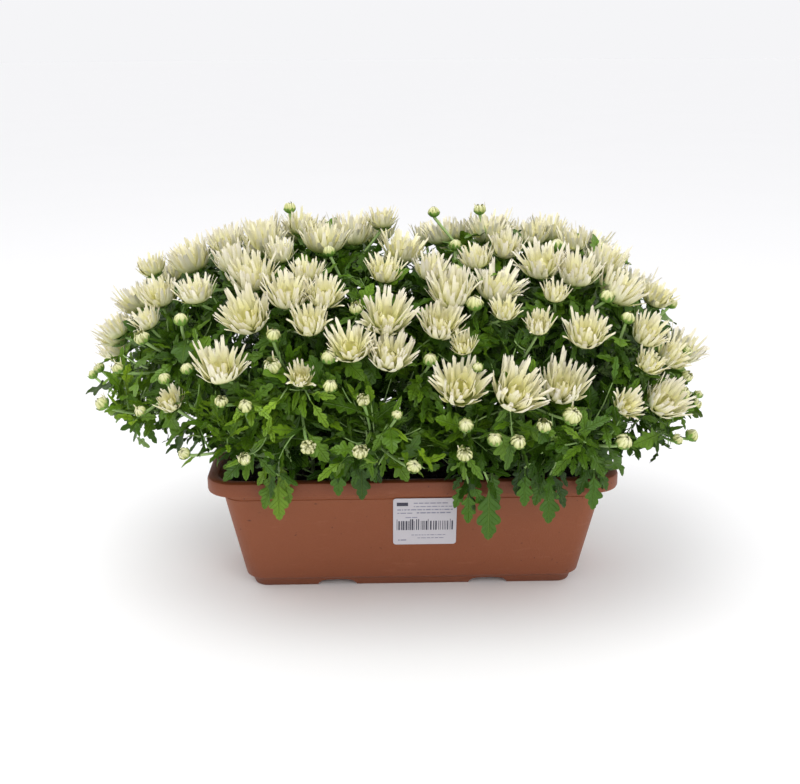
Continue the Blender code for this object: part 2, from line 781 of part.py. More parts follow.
def bloom_rings(petals):
    """Outer tips with valleys between them, then inner tips above the valleys."""
    outer, inner = [], []
    for i in range(2 * petals):
        turn = math.pi * i / petals
        is_tip = i % 2 == 0
        lift = TIP_WAVER * math.sin(3.1 * i)
        outer.append((turn, OUTER_TIP[0], OUTER_TIP[1] + lift) if is_tip else (turn, *OUTER_VALLEY))
        inner.append((turn, *INNER_VALLEY) if is_tip else (turn, *INNER_TIP))
    return outer, inner


def head_mesh(head):
    """A twig with its bloom or bud as one closed skin. A bloom has two whorls of pointed petals."""
    half = head["wide"] / 2
    place = head_matrix(head)
    work = bmesh.new()
    if head["kind"] == "bloom":
        rings = bloom_rings(6 if head["wide"] > SIX_PETALS else 5)
        top_height = BLOOM_HEART
    else:
        turns = [math.tau * i / 4 for i in range(4)]
        rings = ([(turn, *BUD_BELLY) for turn in turns],)
        top_height = 1.0
    made = [ring_of(work, place, half, ring) for ring in rings]
    path = head["path"][::-1]
    neck = tube(work, path, [TWIG_RADIUS] * len(path), 3, place.to_3x3() @ Vector((1.0, 0.0, 0.0)))
    neck = [neck[0]] + neck[:0:-1]
    zip_rings(work, neck, made[0])
    for low, high in zip(made, made[1:]):
        for i in range(len(low)):
            j = (i + 1) % len(low)
            work.faces.new((low[i], low[j], high[j]))
            work.faces.new((low[i], high[j], high[i]))
    top = work.verts.new(place @ Vector((0.0, 0.0, half * top_height)))
    for i in range(len(made[-1])):
        work.faces.new((top, made[-1][i], made[-1][(i + 1) % len(made[-1])]))
    return work


def leaf_mesh(leaf, thickness=LEAF_THICKNESS):
    """A thin lobed blade with its rib, the same outline above and below."""
    work = bmesh.new()
    lift = leaf["frame"].to_3x3() @ Vector((0.0, 0.0, thickness / 2))
    outlines = []
    for sign in (1, -1):
        mid = work.verts.new(leaf_point(leaf, LEAF_SHAPE[2][0], 0.0) + lift * sign)
        tip = work.verts.new(leaf_point(leaf, 1.0, 0.0) + lift * sign)
        edges = []
        for side in (1, -1):
            edges.append([
                work.verts.new(leaf_point(leaf, along, side * wide) + lift * sign)
                for along, wide in LEAF_SHAPE[:-1]
            ])
        for edge in edges:
            ends = edge[1:] + [tip]
            for near, far in zip(edge[1:], ends[1:]):
                work.faces.new((mid, near, far))
            work.faces.new((mid, edge[0], edge[1]))
        work.faces.new((mid, edges[0][0], edges[1][0]))
        outlines.append(edges[0] + [tip] + edges[1][::-1])
    upper, lower = outlines
    for i in range(len(upper)):
        j = (i + 1) % len(upper)
        work.faces.new((upper[i], upper[j], lower[j]))
        work.faces.new((upper[i], lower[j], lower[i]))
    return work


def keep_one_body(obj):
    """Drops loose scraps and sealed hollows that the union leaves."""
    work = bmesh.new()
    work.from_mesh(obj.data)
    seen = set()
    groups = []
    for face in work.faces:
        if face in seen:
            continue
        group, stack = [], [face]
        seen.add(face)
        while stack:
            at = stack.pop()
            group.append(at)
            for edge in at.edges:
                for other in edge.link_faces:
                    if other not in seen:
                        seen.add(other)
                        stack.append(other)
        groups.append(group)
    groups.sort(key=len, reverse=True)
    for group in groups[1:]:
        bmesh.ops.delete(work, geom=group, context="FACES")
    work.to_mesh(obj.data)
    work.free()


def stem_mesh(stem):
    work = bmesh.new()
    points = stem["points"]
    count = len(points) - 1
    radii = [STEM_RADIUS * (1 - STEM_THINNING * i / count) for i in range(count + 1)]
    work.faces.new(tube(work, points, radii, 4, Vector((1.0, 0.0, 0.0)))[::-1])
    return work


def rim_twig_mesh(path):
    work = bmesh.new()
    first = tube(work, path, [TWIG_RADIUS] * len(path), 3, (path[1] - path[0]).orthogonal())
    work.faces.new(first[::-1])
    return work


def tree_of(work):
    tree = BVHTree.FromBMesh(work)
    work.free()
    return tree


def drop_crossing_leaves(stems):
    """Leaves out each leaf that would cross another spray."""
    trees = []
    for stem in stems:
        trees.append([tree_of(stem_mesh(stem))])
        trees[-1] += [tree_of(head_mesh(head)) for head in stem["twigs"]]
        trees[-1] += [tree_of(rim_twig_mesh(path)) for path, _ in stem["rim"]]
    for k, stem in enumerate(stems):
        kept = []
        for leaf in [rim[1] for rim in stem["rim"]] + stem["leaves"]:
            wide = tree_of(leaf_mesh(leaf, LEAF_THICKNESS + 2 * LEAF_CLEAR))
            others = (tree for i, group in enumerate(trees) if i != k for tree in group)
            if not any(wide.overlap(other) for other in others):
                kept.append(leaf)
                trees[k].append(tree_of(leaf_mesh(leaf)))
        stem["leaves"] = kept


def make_spray(number, stem, parts, pieces, materials):
    """One leafy stem with its twigs, leaves, buds and blooms, fused into one body."""
    side = "left" if stem["plant"][0] < 0 else "right"
    spray = object_from(stem_mesh(stem), f"{side}_spray_{number:02d}", parts, materials["stem"])
    for head in stem["twigs"]:
        object_from(head_mesh(head), "head", pieces, materials["petal"])
    for path, _ in stem["rim"]:
        object_from(rim_twig_mesh(path), "twig", pieces, materials["stem"])
    for leaf in stem["leaves"]:
        object_from(leaf_mesh(leaf), "leaf", pieces, materials["leaf"])
    modifier = spray.modifiers.new("join", "BOOLEAN")
    modifier.operation = "UNION"
    modifier.operand_type = "COLLECTION"
    modifier.collection = pieces
    modifier.solver = "MANIFOLD"
    applied(spray)
    for piece in list(pieces.objects):
        bpy.data.objects.remove(piece, do_unlink=True)
    keep_one_body(spray)
    return spray


def main():
    clear_scene()
    parts = new_collection("pot_chrysanthemum")
    cutters = new_collection("cutters")
    pieces = new_collection("pieces")
    materials = {
        "trough": new_material("moulded_plastic", TROUGH_COLOUR, 0.55),
        "soil": new_material("peat_soil", SOIL_COLOUR, 0.95),
        "label": new_material("paper_label", LABEL_COLOUR, 0.6),
        "stem": new_material("stem", STEM_COLOUR, 0.6),
        "leaf": new_material("leaf", LEAF_COLOUR, 0.55),
        "petal": new_material("petal", PETAL_COLOUR, 0.7),
    }
    stems = plan_stems()
    wanted = plan_heads()
    heads, taken = plan_twigs(stems, wanted)
    plan_rim_leaves(stems, taken)
    plan_leaves(stems)
    drop_crossing_leaves(stems)
    make_trough(parts, cutters, materials["trough"])
    make_label(parts, materials["label"])
    make_soil(parts, cutters, materials["soil"], [stem["points"][0] for stem in stems])
    for number, stem in enumerate(stems, 1):
        make_spray(number, stem, parts, pieces, materials)
    for name, count in (
        ("sprays", len(stems)),
        ("blooms", sum(head["kind"] == "bloom" for head in heads)),
        ("buds", sum(head["kind"] == "bud" for head in heads)),
        ("leaves", sum(len(stem["leaves"]) for stem in stems)),
    ):
        print(name, count)


main()
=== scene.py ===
"""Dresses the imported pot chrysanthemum: spoon-petalled blooms, buds, lobed leaves and ribbed
stems on every spray, peat in the trough, moulded plastic and a plain sticker."""

import json
import logging
import math
import random
from collections.abc import Callable, Sequence
from dataclasses import dataclass, field
from enum import Enum
from functools import partial

import bmesh
import bpy
import numpy as np
from mathutils import Matrix, Vector, noise

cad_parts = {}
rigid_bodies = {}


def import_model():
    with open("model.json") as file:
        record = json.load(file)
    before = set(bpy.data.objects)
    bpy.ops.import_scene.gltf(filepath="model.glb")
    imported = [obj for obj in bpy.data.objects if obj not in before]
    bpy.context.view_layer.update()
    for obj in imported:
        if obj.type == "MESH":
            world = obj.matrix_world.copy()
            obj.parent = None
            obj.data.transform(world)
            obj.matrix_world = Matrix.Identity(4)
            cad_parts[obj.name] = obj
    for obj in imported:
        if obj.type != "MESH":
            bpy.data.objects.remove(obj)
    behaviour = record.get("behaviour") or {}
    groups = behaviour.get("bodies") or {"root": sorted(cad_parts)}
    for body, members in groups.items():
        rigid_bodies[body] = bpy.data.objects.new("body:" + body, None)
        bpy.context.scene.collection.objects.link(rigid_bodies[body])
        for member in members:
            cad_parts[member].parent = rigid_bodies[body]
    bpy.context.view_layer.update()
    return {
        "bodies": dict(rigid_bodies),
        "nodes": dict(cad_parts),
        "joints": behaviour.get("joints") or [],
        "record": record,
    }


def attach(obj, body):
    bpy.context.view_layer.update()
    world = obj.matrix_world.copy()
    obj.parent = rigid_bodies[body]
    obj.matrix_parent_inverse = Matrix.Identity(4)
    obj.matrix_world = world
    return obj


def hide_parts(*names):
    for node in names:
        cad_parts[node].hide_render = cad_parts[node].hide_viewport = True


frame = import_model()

Object = bpy.types.Object
Material = bpy.types.Material
Draw = random.Random
Point = tuple[float, float]
Triple = tuple[float, float, float]
LOG = logging.getLogger("pot_chrysanthemum")

# Sizes that the part's source also has, in metres
RIM_LENGTH = 0.400
RIM_WIDTH = 0.170
TROUGH_HEIGHT = 0.125
RIM_FACE = 0.0145
RIM_FLANGE = 0.013
WALL = 0.0025
WALL_TAPER_LENGTH = 0.019
WALL_TAPER_WIDTH = 0.016
FOOT_HEIGHT = 0.009
WALL_FOOT = FOOT_HEIGHT + 0.003
FOOT_STEP = 0.005
FOOT_TAPER = 0.003
CORNER_RADIUS = 0.024
FLOOR_TOP = 0.0115
CHANNEL_PLACES = (-0.076, 0.076)
CHANNEL_WIDTH = 0.038
CHANNEL_HEIGHT = 0.007
DRAIN_RADIUS = 0.004
DRAIN_PLACES = (-0.022, 0.022)
LABEL_WIDTH = 0.062
LABEL_HEIGHT = 0.053
LABEL_THICKNESS = 0.0006
LABEL_CENTRE_X = 0.011
LABEL_TOP = 0.103
SOIL_TOP = 0.108
GAP = 0.0003
HOLE_DEPTH = 0.022

# The crowns and the rules by which they grow, as in the part's source
MOUND_CENTRE_Z = 0.165
MOUND_TOP = 0.350
MOUND_DEPTH = 0.182
MOUND_POWER = 2.3
DIVIDE_X = 0.012
ROOT_REACH_X = 0.058
ROOT_REACH_Y = 0.048
STEM_RINGS = ((0.0, 1, 0.0), (34.0, 5, 12.0), (60.0, 7, 4.0), (82.0, 8, 20.0))
STEM_RADIUS = 0.0022
STEM_THINNING = 0.28
STEM_DRAWN_IN = 0.14
MIDDLE_GAP = 0.024
SHORTEST_STEM = 0.42
STEM_RISE = 0.45
SOIL_CLEAR = 0.006
TWIG_RADIUS = 0.0011
STEM_STEPS = 3
TWIG_STARTS = (3.5, 2.6, 3.85, 1.7, 3.2)
STRAIGHT_TWIG = 0.095
SHORTEST_TWIG = 0.010
HEAD_PUSHES = (0.0, -0.008, 0.006, -0.016, 0.012)
EYE = Vector((-0.045, -1.090, 0.528))
SIGHT_START = 0.72
SIGHT_STEP = 0.0022
SIGHT_STEPS = 240
FRONT_BLOOMS = (
    (-58, 351, 46), (-105, 358, 32), (-28, 363, 30), (-127, 331, 30), (-179, 342, 34), (-206, 334, 34),
    (-251, 319, 30), (-156, 310, 46), (-179, 303, 38), (-210, 294, 36), (-246, 291, 36),
    (-161, 270, 46), (-120, 291, 40), (-101, 313, 32), (-70, 308, 46), (-85, 290, 36), (-25, 313, 34),
    (-9, 308, 32), (-24, 268, 46), (-100, 262, 34), (-60, 238, 40), (-21, 229, 42), (-190, 218, 44),
    (-289, 259, 32), (-260, 266, 28), (-110, 206, 24), (-9, 203, 26), (-242, 182, 26), (29, 349, 36),
    (75, 351, 42), (102, 358, 32), (119, 347, 32), (92, 335, 34), (128, 319, 44), (63, 324, 32),
    (87, 305, 46), (105, 314, 34), (163, 310, 42), (185, 305, 34), (206, 292, 44), (158, 340, 32),
    (20, 314, 34), (40, 292, 44), (21, 282, 42), (30, 260, 40), (9, 257, 34), (93, 272, 26),
    (142, 289, 26), (79, 247, 28), (127, 257, 26), (116, 232, 24), (52, 237, 24), (176, 276, 46),
    (175, 249, 40), (243, 285, 34), (236, 247, 34), (262, 224, 32), (241, 216, 28), (155, 207, 44),
    (183, 213, 32), (50, 195, 46), (105, 184, 48), (78, 166, 34), (259, 177, 42), (220, 173, 28),
    (230, 152, 26),
)
FRONT_BUDS = (
    (-116, 373, 12), (22, 368, 12), (66, 370, 12), (-79, 331, 12), (43, 336, 13), (-54, 274, 12),
    (-136, 248, 14), (-119, 264, 14), (-50, 258, 12), (-74, 243, 15), (-82, 225, 14), (-94, 221, 13),
    (-138, 216, 16), (-81, 195, 13), (-48, 180, 12), (-14, 164, 10), (-14, 259, 13), (20, 229, 14),
    (-204, 226, 13), (-223, 215, 12), (-218, 231, 10), (-246, 205, 12), (-258, 190, 12),
    (-272, 171, 11), (-316, 210, 11), (-291, 216, 12), (-265, 247, 14), (-226, 265, 14),
    (-167, 175, 13), (-191, 180, 12), (-206, 180, 14), (63, 278, 16), (147, 299, 12), (44, 313, 10),
    (67, 213, 10), (193, 284, 14), (185, 333, 12), (206, 321, 12), (215, 262, 13), (257, 276, 12),
    (277, 201, 12), (276, 184, 13), (291, 182, 10), (218, 132, 16), (110, 133, 14), (86, 136, 14),
    (55, 120, 14), (56, 152, 14), (136, 150, 14), (164, 160, 18),
)
RIM_CLEAR = 0.002
RISE_AT_ENDS = 0.60
RISE_AT_FRONT = 0.38
HEAD_SEED = 41
BLOOM_ROOM = 0.021
BUD_ROOM = 0.014
BLOOM_SPACING = 0.035
BUD_SPACING = 0.037
BLOOM_FLOOR = 0.215
BUD_FLOOR = 0.165
FLOOR_JITTER = 0.02
SPACING_JITTER = 0.006
FILL_TRIES = 9000
FRONT_Y = -0.03
FRONT_TOP = 0.33
BUDS_LEFT_OUT = 0.6
BLOOM_SIZES = (0.030, 0.046)
BUD_SIZES = (0.010, 0.015)
SIZE_POWER = 0.7
HEAD_LEAN = 0.16
HEAD_LIFT = 1.05
LIFT_SPREAD = 0.18
HEAD_BASE = 0.32
RIM_LEAVES = (
    (-0.128, 0.098, 0.098, 0.044), (-0.072, 0.121, 0.098, 0.036), (-0.050, 0.117, 0.098, 0.040),
    (0.050, 0.092, 0.100, 0.034), (0.069, 0.078, 0.102, 0.056), (0.103, 0.108, 0.098, 0.038),
    (0.126, 0.092, 0.100, 0.046), (0.168, 0.104, 0.098, 0.040),
)
LEAF_PLACES = (0.34, 0.43, 0.52, 0.61, 0.70, 0.80, 0.90, 0.99)
TWIG_LEAF_PLACES = (0.35, 0.70)
TWIG_LEAF_SIZE = 0.72
SHORT_LEAF = 0.042
LONG_LEAF = 0.056
LEAF_LOBES = ((0.36, 0.29), (0.70, 0.30))
LEAF_SEEDS = 1000
LEAF_REACH = 1.16
LEAF_TURN = math.radians(137.5)
SIDE_SPREAD = 1.0
TIP_SPREAD = 0.25
TIP_SHARE = 0.95
WAY_ALONG = (0.55, 0.35)
LEAF_WIDTH = (0.85, 0.25)
LEAF_ARCH = (0.12, 0.22)
LEAF_FOLD = (0.18, 0.20)
RIM_LEAF_WAY = Vector((0.0, -0.22, -1.0))
RIM_LEAF_FACE = Vector((0.0, -1.0, 0.35))
RIM_LEAF_DROP = 0.93
LEAF_CLEAR = 0.0012
KNEE_ALONG = 0.3
KNEE_BACK = 0.35
KNEE_SHARE = 0.6
RIM_TWIG_WAY = Vector((0.0, 0.3, -1.0))
LONGEST_RUN = 0.09

# How wide, arched and folded a leaf over the rim is, and how young on the left and right
RIM_LEAF_FORM = (0.80, 0.15, 0.42)
RIM_LEAF_YOUNG = (0.55, 0.0)
STEM_LEAF_YOUNG = 0.25
TWIG_LEAF_YOUNG = 0.30

# Extra foliage that only the scene has: more leaves up each stem and leafy side shoots.
# A pair of a size or a reach is its least value and what a draw adds at most.
EXTRA_SEED = 7000
EXTRA_PLACES = tuple(0.12 + 0.040 * i for i in range(22))
SHOOT_PLACES = tuple(0.18 + 0.057 * i for i in range(15))
SHOOT_REACH = (0.030, 0.034)
SHOOT_LEAVES = (0.20, 0.36, 0.50, 0.64, 0.76, 0.87, 0.95, 1.0)
BASAL_PLACES = (0.06, 0.09, 0.12, 0.15, 0.18)
BASAL_REACH = (0.040, 0.055)
RIM_TWIG_PLACES = (0.30, 0.42, 0.54, 0.64, 0.72, 0.80, 0.88, 0.95)
HEAD_TWIG_PLACES = (0.10, 0.24, 0.38, 0.52, 0.66, 0.78)
EXTRA_LEAF_SIZE = (0.62, 0.45)
SHOOT_LEAF_SIZE = (0.42, 0.38)
SHOOT_SPREAD = 0.8
SHOOT_TIP_SPREAD = 0.15
SHOOT_FORWARD = 0.5
SHOOT_UP = 0.35
SHOOT_LEVEL = 0.3
SHOOT_KNEE = 0.6
SHOOT_STEPS = 5
SMALL_LEAF = 0.037
LEAF_MIDDLE = 0.55
HEAD_ROOM = 0.42
MIDDLE_PLACES = (0.10, 0.18, 0.26, 0.34, 0.44, 0.54, 0.66, 0.78, 0.90)
MIDDLE_ZONE = 0.110
MIDDLE_ZONE_TOP = 0.330
MIDDLE_AIM = 0.9
MIDDLE_STRAY = 0.018
MIDDLE_RISE = (0.015, 0.03)
NARROWER = 0.76
FLATTER = 0.6
FRESH_RIM_X = -0.10
OVER_RIM_Y = RIM_WIDTH / 2 + 0.003
OVER_RIM_FLOOR = 0.092
SOIL_LEAF_FLOOR = SOIL_TOP + 0.008
SOIL_LEAF_INSET = 0.006
OLD_DEPTH = 0.45
YOUNG_SLOPE = 1.3
YOUNG_STRAY = 0.8
LEFT_FRESHER = 0.50
RIGHT_FRESHER = 0.15
FRESH_TOP = 0.24
FRESH_CORNER_TOP = 0.165
CORNER_FRESHER = 0.6
FRESH_END_X = -0.235
HIDDEN_DEPTH = 0.11
TWIG_SHOOT_LENGTH = 0.045
TWIG_SHOOT_REACH = (0.022, 0.022)
TWIG_SHOOT_PLACES = (0.18, 0.42, 0.66)
# Each companion's way aside and above in metres, and its size
RIM_COMPANIONS = ((-0.010, 0.014, 0.84), (0.011, 0.010, 0.76), (0.004, 0.026, 0.66), (-0.016, 0.030, 0.60))
COMPANION_START = Vector((0.3, 0.002, 0.5))
COMPANION_FAN = 42.0
COMPANION_TURN = 30.0
COMPANION_STRAY = (0.12, 0.10, 0.3)
COMPANION_SIZE = (0.9, 0.2)
COMPANION_FORM = (0.72, 0.14)
COMPANION_YOUNG = 1.2
LOW_TOP = 0.26
REACH_LOW = 1.04
REACH_HIGH = 0.93


class HeadKind(Enum):
    """What a twig carries at its end."""

    BLOOM = "bloom"
    BUD = "bud"


class BudStage(Enum):
    """How far a bud has opened."""

    GREEN = "green"
    CREAM = "cream"
    OPENING = "opening"


class LeafForm(Enum):
    """How far a leaf is lobed: fully, simply when small, or hardly on a flower stalk."""

    LOBED = "lobed"
    SMALL = "small"
    SLENDER = "slender"


class Skin(Enum):
    """The finish of a face of a leafy spray, in the order of its material slots."""

    STEM = 0
    LEAF = 1
    PETAL = 2
    BRACT = 3
    HEART = 4


# Plan of the plants

Floor = Callable[[Vector], float]


@dataclass(frozen=True)
class Crown:
    """The rounded mound that one plant fills.

    Attributes:
        centre_x: Middle of the mound along the trough.
        outer_reach: Half length towards the trough's end.
        inner_reach: Half length towards the middle.
        root_x: Where its stems meet the soil.
    """

    centre_x: float
    outer_reach: float
    inner_reach: float
    root_x: float

    def _shares(self, point: Vector) -> list[Point]:
        """Measures how far out a point lies.

        Args:
            point: The point.

        Returns:
            For each axis, the share of the mound's reach and that reach.
        """
        outer = (point.x - self.centre_x) * self.centre_x > 0
        high = MOUND_TOP - MOUND_CENTRE_Z
        reaches = (self.outer_reach if outer else self.inner_reach, MOUND_DEPTH, high)
        ways = (point.x - self.centre_x, point.y, point.z - MOUND_CENTRE_Z)
        return [(way / reach, reach) for way, reach in zip(ways, reaches)]

    def value(self, point: Vector) -> float:
        """Gives a number under 1 inside the mound and 1 on its surface."""
        return sum(abs(share) ** MOUND_POWER for share, _ in self._shares(point))

    def surface(self, direction: Vector) -> Vector:
        """Gives the surface point in a direction from the centre."""
        start = Vector((self.centre_x, 0.0, MOUND_CENTRE_Z))
        return start + direction * self.value(start + direction) ** (-1 / MOUND_POWER)

    def outward(self, point: Vector) -> Vector:
        """Gives the direction out of the mound.

        Args:
            point: A point of its surface.

        Returns:
            The unit normal there.
        """
        power = MOUND_POWER - 1
        return Vector([
            math.copysign(abs(share) ** power, share) / reach
            for share, reach in self._shares(point)
        ]).normalized()


CROWNS = (Crown(-0.085, 0.226, 0.260, -0.092), Crown(0.095, 0.182, 0.260, 0.092))


@dataclass
class Leaf:
    """One leaf: its place and form, and how young it is from 0 to 1."""

    frame: Matrix
    long: float
    full: float
    arch: float
    fold: float
    young: float = 0.0
    form: LeafForm = LeafForm.LOBED

    def point(self, along: float, across: float) -> Vector:
        """Gives a point of the blade.

        Args:
            along: Share of the length.
            across: Share of the width.

        Returns:
            The point.
        """
        x = along * self.long
        y = across * self.long * self.full
        drop = -self.arch * self.long * along**2 + self.fold * abs(y)
        return self.frame @ Vector((x, y, drop))


@dataclass
class Head:
    """A bloom or bud with the twig that carries it."""

    kind: HeadKind
    at: Vector
    wide: float
    crown: Crown = CROWNS[0]
    axis: Vector = field(default_factory=Vector)
    turn: float = 0.0
    path: list[Vector] = field(default_factory=list)
    knee: Vector = field(default_factory=Vector)

    def matrix(self) -> Matrix:
        """Gives the head's own frame, with z along its axis.

        Returns:
            The frame.
        """
        z = self.axis
        x = z.orthogonal().normalized()
        turned = Matrix((x, z.cross(x), z)).transposed().to_4x4()
        return Matrix.Translation(self.at) @ turned @ Matrix.Rotation(self.turn, 4, "Z")


@dataclass
class Stem:
    """A main stem and all that grows on it."""

    crown: Crown
    points: list[Vector]
    knee: Vector
    twigs: list[Head] = field(default_factory=list)
    leaves: list[Leaf] = field(default_factory=list)
    rim: list[tuple[list[Vector], Vector, Leaf]] = field(default_factory=list)
    shoots: list[list[Vector]] = field(default_factory=list)


def crown_at(point: Vector) -> Crown:
    """Gives the plant on this side of the middle."""
    return CROWNS[0] if point.x < DIVIDE_X else CROWNS[1]


def bend(start: Vector, through: Vector, end: Vector, steps: int) -> list[Vector]:
    """Gives points along a smooth bend.

    Args:
        start: First point.
        through: Point that the bend is drawn towards.
        end: Last point.
        steps: Number of stretches.

    Returns:
        The points, first and last included.
    """
    shares = [i / steps for i in range(steps + 1)]
    return [start * (1 - t) ** 2 + through * (2 * t * (1 - t)) + end * t**2 for t in shares]


def path_point(points: list[Vector], share: float) -> tuple[Vector, Vector]:
    """Gives a place along a path.

    Args:
        points: The path.
        share: Share of its way.

    Returns:
        The point and the direction there.
    """
    place = share * (len(points) - 1)
    i = min(int(place), len(points) - 2)
    return points[i].lerp(points[i + 1], place - i), (points[i + 1] - points[i]).normalized()


def segment_distance(a: Vector, b: Vector, c: Vector, d: Vector) -> float:
    """Gives the least distance between two segments.

    Args:
        a: Start of the first.
        b: End of the first.
        c: Start of the second.
        d: End of the second.

    Returns:
        The distance.
    """
    u, v, w = b - a, d - c, a - c
    uu, uv, vv = u.dot(u), u.dot(v), v.dot(v)
    uw, vw = u.dot(w), v.dot(w)
    det = uu * vv - uv * uv
    s = 0.5 if det < 1e-12 else (uv * vw - vv * uw) / det
    s = min(1.0, max(0.0, s))
    t = (uv * s + vw) / vv if vv > 1e-12 else 0.0
    t = min(1.0, max(0.0, t))
    s = min(1.0, max(0.0, (uv * t - uw) / uu)) if uu > 1e-12 else 0.0
    return ((a + u * s) - (c + v * t)).length


Run = tuple[Vector, Vector, float]


def runs_of(points: list[Vector], radius: float) -> list[Run]:
    """Gives the straight runs of a path, each with its radius."""
    return [(a, b, radius) for a, b in zip(points, points[1:])]


def head_runs(head: Head) -> list[Run]:
    """Gives a short run along the head's axis whose radius covers it."""
    half = head.wide / 2
    low, high = head.at - head.axis * half * 0.3, head.at + head.axis * half * 0.5
    return [(low, high, half * 0.95)]


def clear_of(runs: list[Run], others: list[Run], spare: float) -> bool:
    """Says whether some runs keep a spare distance from others.

    Args:
        runs: The runs.
        others: The other runs.
        spare: Distance to keep.

    Returns:
        True where they keep it.
    """
    for a, b, radius in runs:
        reach = (b - a).length + LONGEST_RUN
        for c, d, other in others:
            if (a - c).length > reach and (b - d).length > reach:
                continue
            if segment_distance(a, b, c, d) < radius + other + spare:
                return False
    return True


def far_from(point: Vector, heads: list[Head], spacing: float) -> bool:
    """Says whether a point keeps its spacing from every head."""
    return all((point - other.at).length > spacing for other in heads)


def lowest_at(point: Vector) -> float:
    """Gives the height that the plants stay above: the rim, and a rising line past it."""
    past_x = max(0.0, abs(point.x) - RIM_LENGTH / 2)
    past_y = max(0.0, abs(point.y) - RIM_WIDTH / 2)
    return TROUGH_HEIGHT + RIM_CLEAR + RISE_AT_ENDS * past_x + RISE_AT_FRONT * past_y


def leaf_frame(base: Vector, way: Vector, up: Vector) -> Matrix:
    """Gives a frame with x along the leaf, y across it and z off its face.

    Args:
        base: Foot of the leaf.
        way: Direction from foot to tip.
        up: Rough direction of its face.

    Returns:
        The frame.
    """
    x = way.normalized()
    y = up.cross(x)
    if y.length < 1e-4:
        y = Vector((1.0, 0.0, 0.0)).cross(x)
    y.normalize()
    turned = Matrix((x, y, x.cross(y))).transposed().to_4x4()
    return Matrix.Translation(base) @ turned


def between(draw: Draw, least_and_more: Point) -> float:
    """Draws a value from the least up to the least and more."""
    least, more = least_and_more
    return least + more * draw.random()


def grow_leaf(
    draw: Draw, at: Vector, along: Vector, round_by: float, long: float, spread: float
) -> Leaf:
    """Grows one leaf from a stem.

    Args:
        draw: The leaf's own random draws.
        at: Where it leaves the stem.
        along: Direction of the stem there.
        round_by: Turn about the stem.
        long: Length of the leaf.
        spread: How far it leans to the side.

    Returns:
        The leaf.
    """
    side = along.orthogonal().normalized()
    side.rotate(Matrix.Rotation(round_by, 3, along))
    way = (side * spread + along * between(draw, WAY_ALONG)).normalized()
    up = (along + Vector((0, 0, 0.5))).normalized()
    full = between(draw, LEAF_WIDTH)
    arch = between(draw, LEAF_ARCH)
    fold = between(draw, LEAF_FOLD)
    return Leaf(leaf_frame(at, way, up), long, full, arch, fold)


def floor_at(point: Vector) -> float:
    """Gives the height that the scene's own leaves stay above: also down inside the rim."""
    half_x, half_y = wall_at(SOIL_TOP)
    inside = max(abs(point.x) - half_x, abs(point.y) - half_y) < -SOIL_LEAF_INSET
    return SOIL_LEAF_FLOOR if inside else lowest_at(point)


def over_rim_at(point: Vector) -> float:
    """Gives the height that leaves stay above which may hang over the front rim."""
    return OVER_RIM_FLOOR if point.y < -OVER_RIM_Y else floor_at(point)


def leaf_fits(crown: Crown, leaf: Leaf, high: float, low: float, floor: Floor = lowest_at) -> bool:
    """Says whether a whole leaf lies in its plant's crown and over the trough.

    Args:
        crown: The plant's mound.
        leaf: The leaf.
        high: Reach of the mound that the leaf keeps to at the top.
        low: The same lower down.
        floor: Gives the height that it stays above at a point.

    Returns:
        True where it does.
    """
    edge = [(0.0, 0.0), (1.0, 0.0)] + [(a, b * side) for a, b in LEAF_LOBES for side in (-1, 1)]
    for along, across in edge:
        point = leaf.point(along, across)
        reach = low if point.z < LOW_TOP else high
        if point.z <= floor(point) or crown.value(point) >= reach:
            return False
    return True


